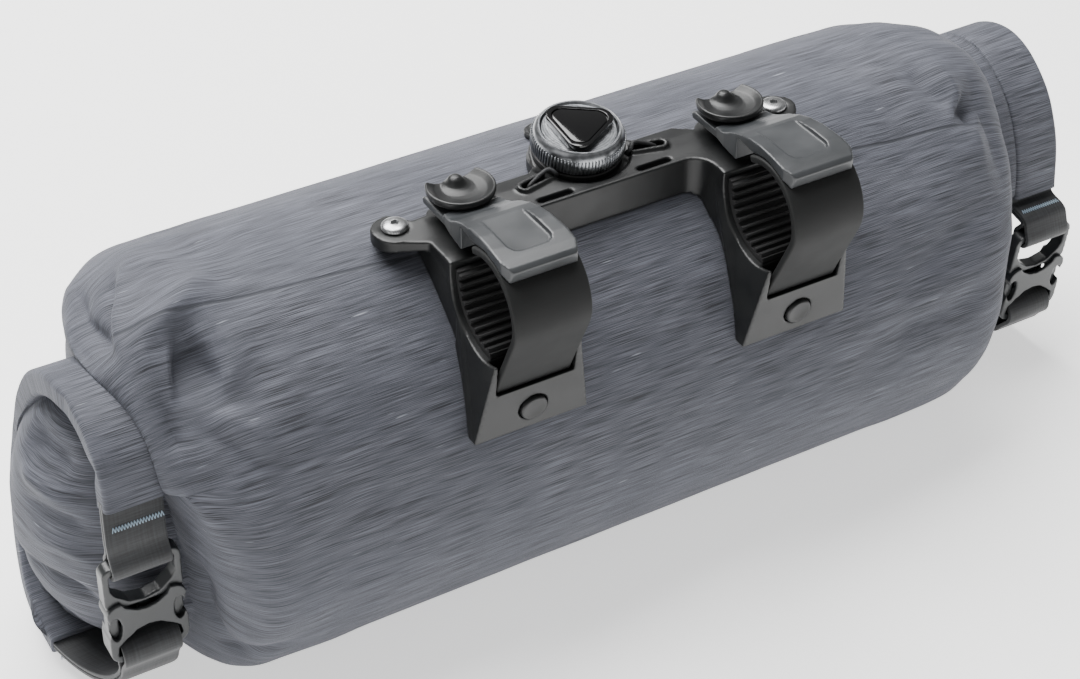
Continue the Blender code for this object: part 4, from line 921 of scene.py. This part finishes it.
def repeated(name, places, size, material):
    """One small bar at each place, given as (point, direction of its length, outward direction)."""
    guide_mesh = bpy.data.meshes.new(name + "_places")
    guide_mesh.from_pydata(to_frame([tuple(place[0]) for place in places]).tolist(), [], [])
    turns = []
    for _, along, out in places:
        turn = axis_frame((0, 0, 0), along, Vector(out).cross(Vector(along)))
        turns += list(turn.to_euler())
    attribute = guide_mesh.attributes.new("turn", "FLOAT_VECTOR", "POINT")
    attribute.data.foreach_set("vector", turns)
    guide = bpy.data.objects.new(name, guide_mesh)
    bpy.context.scene.collection.objects.link(guide)
    bar = thread_bar(name + "_bar")

    tree = bpy.data.node_groups.new(name + "_layout", "GeometryNodeTree")
    face = tree.interface
    face.new_socket("Geometry", in_out="OUTPUT", socket_type="NodeSocketGeometry")
    face.new_socket("Places", in_out="INPUT", socket_type="NodeSocketGeometry")
    part = face.new_socket("Bar", in_out="INPUT", socket_type="NodeSocketObject")
    extent = face.new_socket("Size", in_out="INPUT", socket_type="NodeSocketVector")
    finish = face.new_socket("Finish", in_out="INPUT", socket_type="NodeSocketMaterial")
    given = add_node(tree, "NodeGroupInput")
    turned_by = add_node(
        tree, "GeometryNodeInputNamedAttribute", {"Name": "turn"}, data_type="FLOAT_VECTOR")
    shape = add_node(tree, "GeometryNodeObjectInfo", {"Object": given.outputs["Bar"]})
    placed = add_node(tree, "GeometryNodeInstanceOnPoints", {
        "Points": given.outputs["Places"], "Instance": shape.outputs["Geometry"],
        "Rotation": turned_by.outputs[0], "Scale": given.outputs["Size"]})
    real = add_node(tree, "GeometryNodeRealizeInstances", {0: placed.outputs[0]})
    painted = add_node(tree, "GeometryNodeSetMaterial", {
        "Geometry": real.outputs[0], "Material": given.outputs["Finish"]})
    add_node(tree, "NodeGroupOutput", {0: painted.outputs[0]})
    step = guide.modifiers.new("layout", "NODES")
    step.node_group = tree
    step[part.identifier] = bar
    step[extent.identifier] = [length * MM for length in size]
    step[finish.identifier] = material
    bpy.context.view_layer.update()
    graph = bpy.context.evaluated_depsgraph_get()
    mesh = bpy.data.meshes.new_from_object(guide.evaluated_get(graph))
    guide.modifiers.clear()
    guide.data = mesh
    mesh.materials.clear()
    mesh.materials.append(material)
    mesh.shade_smooth()
    bpy.data.objects.remove(bar, do_unlink=True)
    return guide


# Webbing and buckles
def buckle_frame(end):
    """Frame at a buckle's middle, leaning as it hangs: X along the tube, Y up, Z outward."""
    depth_share, height_share = end.buckle_top
    top = Vector((RING_HALF_DEPTH * depth_share, RING_HALF_HEIGHT * height_share))
    lean = math.radians(end.lean_deg)
    up = Vector((-math.sin(lean), math.cos(lean)))
    centre = top - up * BUCKLE_LENGTH / 2
    x = float(end.ring_x(0.0)) + end.side * end.skew * 0.1
    return axis_frame((x, centre.x, centre.y), (1, 0, 0), (0, up.x, up.y))


def ribbon(name, path, across_x, width, thickness, material, corner=0.45):
    """Flat strip swept along a path of (y, z) points; across_x is its middle's x at each point."""
    path = np.array(path, float)
    along = unit(np.gradient(path, axis=0))
    out = turn_left(along)
    section = rounded_box(width / 2, -thickness / 2, thickness / 2, corner, 3)
    grid = np.zeros((len(path), len(section), 3))
    for here, (across, away) in enumerate(section):
        grid[:, here, 0] = np.asarray(across_x) + across
        grid[:, here, 1:] = path + out * away
    lengths = np.concatenate(((0.0,), np.cumsum(np.linalg.norm(np.diff(path, axis=0), axis=1))))
    girth = np.array([x for x, _ in section] + [section[0][0]])
    cloth = np.zeros((len(path), len(section) + 1, 2))
    cloth[..., 0] = girth
    cloth[..., 1] = lengths[:, None]
    return skin(name, grid, cloth, material, 50)


def make_tab(end, label, turn):
    """Webbing folded round the buckle's bar, with its two plies sewn to the end of the band."""
    sign = 1 if label == "upper" else -1
    share, root_sign = (0.0, -1) if label == "upper" else (1.0, 1)
    bar = turn @ Vector((0.0, sign * (BUCKLE_LENGTH / 2 - BUCKLE_BAR / 2), 0.0))
    out = turn.to_3x3() @ Vector((0.0, sign, 0.0))
    depth = BUCKLE_THICKNESS - 3.6 if label == "upper" else BUCKLE_THICKNESS
    radius = math.hypot(BUCKLE_BAR, depth) / 2 + CLEARANCE + WEBBING_THICKNESS / 2
    toward = np.array(Vector((out.y, out.z)).normalized())
    centre = np.array((bar.y, bar.z))
    side = turn_left(toward)
    along = end.ring_along(share) * root_sign
    root = end.ring_centre(share) - along * 2.5
    start = root + along * (WEBBING_THICKNESS + 2.5)
    exit_point = centre + toward * (radius + 1.2 * WEBBING_THICKNESS)
    span = np.linalg.norm(exit_point - start)
    steps = np.linspace(0, 1, 18)[:, None]
    back = 1 - steps
    curve = (start * back ** 3 + (start + along * span * 0.4) * 3 * back ** 2 * steps
             + (exit_point + toward * span * 0.3) * 3 * back * steps ** 2 + exit_point * steps ** 3)
    route = np.concatenate((root[None], curve))
    ahead = unit(np.gradient(route, axis=0))
    ply = turn_left(ahead) * (WEBBING_THICKNESS / 2 + 0.1)
    first = route + ply
    second = route - ply
    angles = np.radians(np.linspace(42, 318, 30))[:, None]
    loop = centre + (toward * np.cos(angles) + side * np.sin(angles)) * radius
    if np.linalg.norm(first[-1] - loop[0]) > np.linalg.norm(second[-1] - loop[0]):
        loop = loop[::-1]
    path = np.concatenate((first, loop, second[::-1]))
    for _ in range(2):
        path[1:-1] = (path[:-2] + 2 * path[1:-1] + path[2:]) / 4
    distance = np.linalg.norm(path - root, axis=1)
    root_x = float(end.ring_x(share))
    shift = np.clip(distance / span, 0, 1)
    across_x = root_x + (bar.x - root_x) * shift
    tab = ribbon("webbing_tab_%s_%s" % (label, end.name), path, across_x, WEBBING_WIDTH,
                 WEBBING_THICKNESS, WEBBING)
    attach(tab, "bag")
    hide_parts("webbing_%s_%s" % (label, end.name))
    outer = first if np.dot(ply[3], end.ring_centre(share)) > 0 else second
    outward_way = 1 if outer is first else -1
    place = outer[0] + (outer[-1] - outer[0]) * min(7.5 / span, 0.6)
    nearest = np.argmin(np.linalg.norm(outer - place, axis=1))
    seam_point = outer[nearest] + turn_left(ahead[nearest]) * outward_way * WEBBING_THICKNESS / 2
    down = ahead[nearest]
    normal = turn_left(down) * outward_way
    places = []
    for stitch in range(STITCHES):
        x = across_x[0] + SEAM_LENGTH * ((stitch + 0.5) / STITCHES - 0.5)
        lean = 1 if stitch % 2 else -1
        point = Vector((x, *(seam_point + normal * 0.12)))
        direction = Vector((SEAM_LENGTH / STITCHES, *(down * 1.9 * lean)))
        places.append((point, direction, Vector((0, *normal))))
    seam = repeated(
        "zigzag_stitch_%s_%s" % (label, end.name), places, STITCH_SIZE, STITCH_THREAD)
    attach(seam, "bag")


def make_buckle(end):
    """Side-release buckle as fastened: the male frame above and the female body below."""
    turn = buckle_frame(end)
    half = BUCKLE_LENGTH / 2
    half_width = BUCKLE_WIDTH / 2
    female = slab("buckle_body_" + end.name, rounded_box(half_width, -half, 5.4, 4.6),
                  BUCKLE_THICKNESS / 2, turn, BUCKLE_ACETAL)
    cuts = [slab("lower_eye", LOWER_EYE, BUCKLE_THICKNESS, turn),
            slab("upper_waist", UPPER_WAIST, BUCKLE_THICKNESS, turn)]
    for side in (-1, 1):
        centre = (side * 10.9, -5.2)
        window = [(centre[0] + 2.0 * math.cos(angle), centre[1] + 5.2 * math.sin(angle))
                  for angle in np.linspace(0, 2 * math.pi, 25)[:-1]]
        cuts.append(slab("side_window", window, BUCKLE_THICKNESS, turn))
        flank = arc((side * (half_width + 14.3), -4.6), 15.2, 0, 345, 46)
        cuts.append(slab("flank", flank, BUCKLE_THICKNESS, turn))
    cuts.append(slab("pocket", rounded_box(half_width - 4.6, -6, 9, 1.0), 2.5, turn))
    combine(female, cuts, "DIFFERENCE")
    mould(female, 0.38, 4, 0.5)
    male = slab("buckle_plug_" + end.name, rounded_box(half_width - 0.2, 2.2, half, 3.4), 2.6,
                turn, BUCKLE_ACETAL)
    prongs = [slab("prong", [(side * x, y) for x, y in PRONG], 2.0, turn) for side in (-1, 1)]
    prongs.append(slab("middle_prong", rounded_box(2.2, -6.5, 5, 1.0), 1.4, turn))
    combine(male, prongs, "UNION")
    eye = slab("webbing_eye", WEBBING_EYE, BUCKLE_THICKNESS, turn)
    combine(male, [eye], "DIFFERENCE")
    mould(male, 0.38, 4, 0.5)
    for obj, node in ((female, "buckle_female_"), (male, "buckle_male_")):
        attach(obj, "bag")
        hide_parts(node + end.name)
    return turn


# Bracket
def seated(forward, rise):
    """Point (y, z) given in front of and above the bracket's seat on the bag."""
    seat = tube_section(np.array(SEAT_DEG, float))
    return float(seat[0]) - forward, float(seat[1]) + rise


SEAT_Y, SEAT_Z = seated(0, 0)
BAR_Y, BAR_Z = seated(BAR_FORWARD, BAR_RISE)
CRADLE_RADIUS = BAR_RADIUS + CRADLE_PAD + 2 * CLEARANCE


def plate_height(forward):
    """Height of the bracket's plate over its seat."""
    table = np.array(PLATE_TOP, float)
    return float(np.interp(forward, table[:, 0], table[:, 1]))


def plate_outline():
    """Plan of the bridge, ears and dial seat: the right half, mirrored to the left."""
    half_leg = LEG_WIDTH / 2
    bridge_back = SEAT_Y + 22
    front = SEAT_Y + 3.3
    ear_x = LEG_X + EAR_REACH
    ear_y = SEAT_Y + EAR_BACK
    dial_y = SEAT_Y + DIAL_BACK
    tail_y = dial_y + DIAL_RADIUS + 8
    right = arc((0.0, tail_y), EAR_RADIUS * 0.72, 90, 10, 10)
    right += [(EAR_RADIUS * 0.62, dial_y + DIAL_RADIUS)]
    right += arc((0.0, dial_y), DIAL_RADIUS + 0.8, 62, 0, 14)
    right += [(DIAL_RADIUS + 4, bridge_back), (LEG_X - half_leg, bridge_back)]
    right += arc((LEG_X, BAR_Y + HOOK_SETBACK), HOOK_RADIUS, 150, 30, 18)
    right += [(LEG_X + half_leg, bridge_back - 6)]
    right += arc((ear_x, ear_y), EAR_RADIUS, 100, -80, 20)
    right += [(LEG_X + half_leg, ear_y - 12), (LEG_X + half_leg, SEAT_Y - 11)]
    right += [(LEG_X - half_leg, SEAT_Y - 11)]
    right += arc((LEG_X - half_leg - 7, front - 7), 7, 0, 90, 10)
    return right + [(-x, y) for x, y in right[::-1] if abs(x) > 0.01]


def leg_outline():
    """Side view of a leg: cradle round the bar above, and the foot's straight front below."""
    points = arc((BAR_Y, BAR_Z), CRADLE_RADIUS, 5, -105, 40)
    points += [tuple(foot_line(0.0)), tuple(foot_line(FOOT_FACE))]
    points += [seated(12, -FOOT_DROP), seated(-4, -8), seated(-8, 16.9), seated(6, 17.1)]
    return points


def foot_line(drop):
    """Point on the foot's front face at a distance below the foot's top edge."""
    return Vector((BAR_Y - FOOT_SET + FOOT_LEAN * drop / FOOT_FACE, BAR_Z - FOOT_TOP - drop))


def foot_frame(side, drop):
    here = foot_line(drop)
    up = (foot_line(0.0) - foot_line(FOOT_FACE)).normalized()
    return axis_frame((side * LEG_X, here.x, here.y), (1, 0, 0), (0, up.x, up.y))


def dial_frame():
    """Frame at the foot of the dial, which leans toward the rider."""
    y, z = seated(-DIAL_BACK, plate_height(-DIAL_BACK) + CLEARANCE)
    return Matrix.Translation((0.0, y, z)) @ Matrix.Rotation(math.radians(DIAL_TILT_DEG), 4, "X")


def guide_frame(side):
    """Frame of a lace guide, whose slot slants toward the dial."""
    y, z = seated(-GUIDE_BACK, plate_height(-GUIDE_BACK))
    return axis_frame((side * (SLOT_X + 2), y, z), (1, -0.22 * side, 0), (0, 1, 0.12))


def make_leg(side):
    x = side * LEG_X
    leg = slab("leg", leg_outline(), LEG_WIDTH / 2, side_frame(x))
    top_z = BAR_Z - FOOT_TOP
    for vertex in leg.data.vertices:
        height = vertex.co.z / MM - TUBE_CENTRE.z
        share = min(max((top_z - height) / FOOT_FACE, 0.0), 1.0)
        middle = (x + TUBE_CENTRE.x) * MM
        vertex.co.x = middle + (vertex.co.x - middle) * (1 + (FOOT_WIDTH / LEG_WIDTH - 1) * share)
    return leg


def bag_cutter():
    """The bag's own section, which the bracket's underside is cut to."""
    loop = np.arange(192) * LOOP_POINTS / 192
    section = tube_section(FOLD_TOP_DEG - SEAM_STEP_DEG * loop)
    section = section * (1 + CLEARANCE / BAG_RADIUS)
    return slab("bag_seat", [tuple(point) for point in section], CUT_REACH, side_frame(0.0))


def notch_cutter(side):
    """Open notch where a strap lies in the foot, and the slot that it runs down into."""
    inset = STRAP_THICKNESS + 0.4 + 2 * CLEARANCE
    lip = foot_line(NOTCH_DROP)
    top = foot_line(-8)
    deep = foot_line(NOTCH_DROP + 6)
    outline = [
        (top.x - 12, top.y), (lip.x - 12, lip.y), (lip.x + 1.2, lip.y), (deep.x + 1.2, deep.y),
        (deep.x + inset + 2.7, deep.y), (lip.x + inset + 1.6, lip.y), (top.x + inset + 4.5, top.y),
    ]
    return slab("notch", outline, STRAP_WIDTH / 2 + CLEARANCE * 2, side_frame(side * LEG_X))


def make_bracket():
    bracket = slab("bracket_body", plate_outline(), 60, Matrix.Translation((0, 0, SEAT_Z)),
                   BRACKET_NYLON)
    profile = [seated(forward, rise) for forward, rise in PLATE_TOP]
    profile += [seated(14, -20), seated(-58, -20)]
    trim = slab("plate_slab", profile, CUT_REACH, side_frame(0.0))
    combine(bracket, [trim], "INTERSECT", "EXACT")
    joins = [make_leg(side) for side in (-1, 1)]
    rim = stadium((0, 0), SLOT_LENGTH / 2 + GUIDE_RIM, SLOT_WIDTH / 2 + GUIDE_RIM)
    joins += [slab("guide_rim", rim, 1.3, guide_frame(side)) for side in (-1, 1)]
    joins.append(drum("dial_seat", DIAL_RADIUS, 0, -8, dial_frame(), 72))
    combine(bracket, joins, "UNION", "EXACT")
    combine(bracket, [bag_cutter()], "DIFFERENCE", "EXACT")
    cuts = [drum("dial_room", DIAL_RADIUS + 2, 10, 0, dial_frame(), 72)]
    cradle = arc((BAR_Y, BAR_Z), CRADLE_RADIUS, 0, 357, 119)
    cuts.append(slab("cradle", cradle, CUT_REACH, side_frame(0.0)))
    slot = stadium((0, 0), SLOT_LENGTH / 2, SLOT_WIDTH / 2)
    slot_y, slot_z = seated(-SLOT_BACK, plate_height(-SLOT_BACK))
    ear_y, ear_z = seated(-EAR_BACK, plate_height(-EAR_BACK))
    under_ear = [(ear_y - 30, ear_z - 30), (ear_y + 30, ear_z - 30), (ear_y + 30, ear_z - 5.6),
                 (ear_y - 30, ear_z - 4.4)]
    for side in (-1, 1):
        ear_x = side * (LEG_X + EAR_REACH)
        cuts.append(notch_cutter(side))
        cuts.append(drum("rivet_seat", RIVET_SEAT, 4, -1.4, foot_frame(side, RIVET_DROP)))
        cuts.append(slab("slot", slot, 3, Matrix.Translation((side * SLOT_X, slot_y, slot_z))))
        cuts.append(slab("guide_hole", slot, 4, guide_frame(side)))
        cuts.append(slab("under_ear", under_ear, 9, side_frame(ear_x + side * 3)))
        ear_top = Matrix.Translation((ear_x, ear_y, ear_z))
        cuts.append(drum("screw_seat", SCREW_SEAT, 3, -0.5, ear_top))
    combine(bracket, cuts, "DIFFERENCE")
    mould(bracket, 0.5, 3, 0.42)
    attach(bracket, "bag")
    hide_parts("bracket")


# Bar fittings
def strap_path():
    """Middle of a bar strap, from its root in the foot round the bar to the lever."""
    radius = BAR_RADIUS + CLEARANCE + STRAP_THICKNESS / 2
    notch = foot_line(NOTCH_DROP - 4)
    inset = STRAP_THICKNESS / 2 + 0.4
    root = foot_line(NOTCH_DROP + 5)
    start = [(root.x + inset + 2.4, root.y), (notch.x + inset + 0.3, notch.y)]
    rough = np.array(start + arc((BAR_Y, BAR_Z), radius, 190, 62, 40))
    lengths = np.concatenate(((0.0,), np.cumsum(np.linalg.norm(np.diff(rough, axis=0), axis=1))))
    even = np.linspace(0, lengths[-1], 70)
    path = np.column_stack([np.interp(even, lengths, rough[:, column]) for column in (0, 1)])
    for _ in range(6):
        path[1:-1] = (path[:-2] + 2 * path[1:-1] + path[2:]) / 4
    return path


def make_fittings(side, name):
    x = side * LEG_X
    path = strap_path()
    strap = ribbon("bar_strap_" + name, path, np.full(len(path), x), STRAP_WIDTH, STRAP_THICKNESS,
                   STRAP_RUBBER, 0.7)
    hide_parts("strap_" + name)

    outer = BAR_RADIUS + CRADLE_PAD + CLEARANCE
    inner = outer - CRADLE_PAD + 1.5 + 2 * CLEARANCE
    sweep = -99
    points = arc((BAR_Y, BAR_Z), outer, 3, 3 + sweep, 40)
    ribs = 10
    cell = sweep / ribs
    for rib in range(ribs, 0, -1):
        base = 3 + cell * (rib - 1)
        for share, radius in ((0.98, inner), (0.78, inner), (0.66, inner - 1.3), (0.5, inner - 1.5),
                              (0.34, inner - 1.3), (0.22, inner), (0.02, inner)):
            points += arc((BAR_Y, BAR_Z), radius, base + cell * share, base + cell * share, 1)[:1]
    pad = slab("ribbed_pad_" + name, points, PAD_WIDTH / 2, side_frame(x), PAD_RUBBER)
    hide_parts("grip_pad_" + name)

    rivet = turned("foot_rivet_cap_" + name, RIVET_PROFILE, foot_frame(side, RIVET_DROP), 48,
                   BRACKET_NYLON, 60)
    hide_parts("foot_rivet_" + name)
    lever = make_lever(x, name)
    hook = make_hook(x, name)
    for obj in (strap, pad, rivet, lever, hook):
        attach(obj, "bag")


def lever_outline():
    """Side view of a latch lever: plate above, strap arc below and a tongue to the hook."""
    reach = BAR_RADIUS + STRAP_THICKNESS + 2 * CLEARANCE
    points = arc((0, 0), reach, 129, 66, 24)
    points += [(19.0, 17.0), (19.0, TONGUE_LOW), (HOOK_SETBACK + 7, TONGUE_LOW),
               (HOOK_SETBACK + 7.6, TONGUE_TOP - 1), (HOOK_SETBACK + 6.4, TONGUE_TOP),
               (34.5, TONGUE_TOP), *LEVER_TOP]
    return [(y + BAR_Y, z + BAR_Z) for y, z in points]


def make_lever(x, name):
    lever = slab("latch_lever_" + name, lever_outline(), LEVER_WIDTH / 2, side_frame(x),
                 LEVER_NYLON)
    bar = Matrix.Translation((x, BAR_Y, BAR_Z))
    cuts = [slab("lever_side", [(edge * away, y) for away, y in LEVER_SIDE], 40, bar)
            for edge in (-1, 1)]
    stem = Matrix.Translation((x, BAR_Y + HOOK_SETBACK, BAR_Z))
    cuts.append(drum("stem_hole", STEM_HOLE, 30, -10, stem))
    thumb = Matrix.Translation((x, BAR_Y, BAR_Z + 22.1)) @ Matrix.Rotation(math.radians(-1), 4, "X")
    cuts.append(slab("thumb_recess", rounded_box(7.6, -6.5, 24, 4.0), 1.5, thumb))
    combine(lever, cuts, "DIFFERENCE")
    mould(lever, 0.36, 3, 0.4)
    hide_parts("latch_" + name)
    return lever


def make_hook(x, name):
    """Round flange with a dished top, flat at the back, which holds the lever's tongue."""
    hook_y = BAR_Y + HOOK_SETBACK
    base = SEAT_Z + plate_height(-(hook_y - SEAT_Y)) + CLEARANCE + 0.4
    turn = Matrix.Translation((x, hook_y, base))
    under = BAR_Z + TONGUE_TOP + 2 * CLEARANCE - base
    profile = (*HOOK_DISH, (7.2, under + 0.3), (5.4, under), (5.0, under - 0.3), (5.0, 0.4),
               (4.7, 0.0), (0, 0.0))
    hook = turned("latch_hook_" + name, profile, turn, 72, BRACKET_NYLON)
    nub = turned("hook_nub", NUB_PROFILE, Matrix.Translation((x, hook_y + 3.5, base)), 40)
    combine(hook, [nub], "UNION")
    back = slab("hook_back", [(-20, 6.5), (20, 6.5), (20, 20), (-20, 20)], 30, turn)
    combine(hook, [back], "DIFFERENCE")
    mould(hook, 0.3, 2, 0.4)
    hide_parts("hook_" + name)
    return hook


def make_screw(node, x, forward, material, dome):
    """Low round head with a hex socket."""
    y, z = seated(forward, plate_height(forward) + CLEARANCE)
    slope = (plate_height(forward + 1) - plate_height(forward - 1)) / 2
    turn = axis_frame((x, y, z), (1, 0, 0), (0, 1, -slope))
    profile = ((0, dome), (1.4, dome), (2.9, dome * 0.93), (3.9, dome * 0.7), (4.4, dome * 0.35),
               (4.5, 0.0), (4.5, -0.35), (0, -0.35))
    screw = turned(node + "_head", profile, turn, 64, material, 50)
    corners = [(1.5 * math.cos(math.radians(60 * step)), 1.5 * math.sin(math.radians(60 * step)))
               for step in range(6)]
    socket = slab("hex_socket", corners, 1.0, turn @ Matrix.Translation((0, 0, dome)))
    combine(screw, [socket], "DIFFERENCE")
    screw.data.shade_smooth()
    screw.data.set_sharp_from_angle(angle=math.radians(35))
    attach(screw, "bag")
    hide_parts(node)


# Dial and laces
def rounded_triangle(reach, corner, steps=12):
    """Rounded triangle with one corner to the right."""
    points = []
    for point_deg in (0, 120, 240):
        angle = math.radians(point_deg)
        centre = ((reach - corner) * math.cos(angle), (reach - corner) * math.sin(angle))
        points += arc(centre, corner, point_deg - 50, point_deg + 50, steps)
    return points


def make_dial():
    turn = dial_frame()
    axis_point = Vector(to_frame(tuple(turn.translation)))
    knob_metal = turned_metal("aluminised_abs_turned", "#77797c", "#a4a6a9", 0.28, 0.9, axis_point)
    steel = turned_metal("stainless_steel_turned", "#9a9b9c", "#c2c3c4", 0.3, 0.5, axis_point)
    base = turned("dial_base_ring", DIAL_BASE_PROFILE, turn, 96, BRACKET_NYLON, 30)
    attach(base, "bag")
    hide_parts("dial_base")
    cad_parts["dial_core"].data.materials.clear()
    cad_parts["dial_core"].data.materials.append(steel)

    knob = turned("dial_knob_body", DIAL_KNOB_PROFILE, turn, 120, knob_metal, 30)
    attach(knob, "dial_top")
    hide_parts("dial_knob")
    places = []
    axis = turn.to_3x3() @ Vector((0, 0, 1))
    for rib in range(KNOB_RIBS):
        angle = 2 * math.pi * rib / KNOB_RIBS
        out = Vector((math.cos(angle), math.sin(angle), 0))
        rib_middle = turn @ (out * 15.72 + Vector((0, 0, 5.9)))
        places.append((rib_middle, axis, turn.to_3x3() @ out))
    grips = repeated("dial_knob_ribs", places, KNOB_RIB_SIZE, knob_metal)
    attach(grips, "dial_top")

    bezel, dish, centre = (
        slab(name, rounded_triangle(reach, corner), half_thickness,
             turn @ Matrix.Translation((0, 0, height)), CAP_BLACK)
        for name, reach, corner, half_thickness, height in (
            ("dial_cap_bezel", 12.2, 5, 1.3, 11.3), ("dish", 10.4, 4.2, 1.0, 12.75),
            ("dial_cap_centre", 10.0, 4.0, 0.5, 12.05)))
    combine(bezel, [dish], "DIFFERENCE")
    bevelled(bezel, 0.4, 3)
    bevelled(centre, 0.35, 3)
    for piece in (bezel, centre):
        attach(piece, "dial_top")
    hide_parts("dial_cap")


def make_lace(side, name):
    """Short braided lace from the dial's base down into its guide hole."""
    turn = dial_frame()
    exit_angle = math.radians(-35 if side > 0 else -145)
    out = Vector((math.cos(exit_angle), math.sin(exit_angle), 0))
    hole = guide_frame(side)
    route = [
        turn @ (out * 16.3 + Vector((0, 0, 1.7))),
        turn @ (out * 17.8 + Vector((0, 0, 4.0))),
        hole @ Vector((-side * SLOT_LENGTH * 0.3, 0, 1.2 + 1.96)),
        hole @ Vector((side * SLOT_LENGTH * 0.2, 0, 0.42)),
        hole @ Vector((side * SLOT_LENGTH * 0.28, 0, -2)),
    ]
    path = along_rows([tuple(point) for point in route], np.linspace(0, 1, 40))
    ahead = unit(np.gradient(path, axis=0))
    across = unit(np.cross(ahead, np.array((0.0, 0.0, 1.0))))
    up = np.cross(across, ahead)
    sides = 14
    grid = np.zeros((len(path), sides, 3))
    for here in range(sides):
        angle = 2 * math.pi * here / sides
        bumps = 0.7 + 0.06 * np.cos(np.arange(len(path)) * 1.7 + here * 2 * math.pi * 2 / sides)
        grid[:, here] = path + (across * math.cos(angle) + up * math.sin(angle)) * bumps[:, None]
    cloth = np.zeros((len(path), sides + 1, 2))
    lace = skin("lace_cord_" + name, grid, cloth, LACE_CORD)
    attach(lace, "bag")
    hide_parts("lace_" + name)


# Floor and light
def make_studio():
    shape = bmesh.new()
    bmesh.ops.create_grid(shape, x_segments=8, y_segments=8, size=4.0)
    mesh = bpy.data.meshes.new("studio_floor")
    shape.to_mesh(mesh)
    shape.free()
    # Opal acrylic lit from below: white, with hardly a shadow, and it lights the bag from beneath
    material, tree, shader = new_material("opal_acrylic_lit_table", "#f4f4f3", 0.9)
    shader.inputs["Emission Color"].default_value = hex_colour("#ffffff")
    shader.inputs["Emission Strength"].default_value = 0.95
    place = add_node(tree, "ShaderNodeTexCoord").outputs["Object"]
    fibre = stretched_noise(tree, place, (0.02, 0.02, 0.02), 2.0)
    colour = mixed(tree, fibre, hex_colour("#f1f1f0"), hex_colour("#f6f6f5"))
    tree.links.new(colour, shader.inputs["Base Color"])
    floor = show("studio_floor", mesh, material)
    floor.location.z = -0.0004

    world = bpy.data.worlds.new("white_studio")
    world.use_nodes = True
    sky = world.node_tree.nodes["Background"]
    sky.inputs["Color"].default_value = hex_colour("#ffffff")
    sky.inputs["Strength"].default_value = 0.32
    bpy.context.scene.world = world
    for name, place, size, power, aim in (
            ("overhead_softbox", (-0.15, 0.5, 1.3), 1.2, 58, (0, 0, 0.05)),
            ("left_softbox", (-1.3, -0.5, 0.8), 0.9, 1.5, (0, 0, 0.06)),
    ):
        light = bpy.data.lights.new(name, "AREA")
        light.shape = "SQUARE"
        light.size = size
        light.energy = power
        lamp = bpy.data.objects.new(name, light)
        bpy.context.scene.collection.objects.link(lamp)
        lamp.location = place
        lamp.rotation_euler = (Vector(aim) - Vector(place)).to_track_quat("-Z", "Y").to_euler()


def main():
    make_bag_cloth()
    for end in (LEFT_END, RIGHT_END):
        make_band(end)
        turn = make_buckle(end)
        for label in ("upper", "lower"):
            make_tab(end, label, turn)
    make_bracket()
    steel = turned_metal(
        "stainless_steel_pressed", "#8f9091", "#c9cacb", 0.3, 0.6, Vector((0, 0, 0)))
    for side, name in ((-1, "left"), (1, "right")):
        make_fittings(side, name)
        make_lace(side, name)
        make_screw("ear_screw_" + name, side * (LEG_X + EAR_REACH), -EAR_BACK, steel, 1.4)
    make_screw("ear_screw_rear", 0.0, -DIAL_BACK - DIAL_RADIUS - 7, BRACKET_NYLON, 1.2)
    make_dial()
    make_studio()


main()
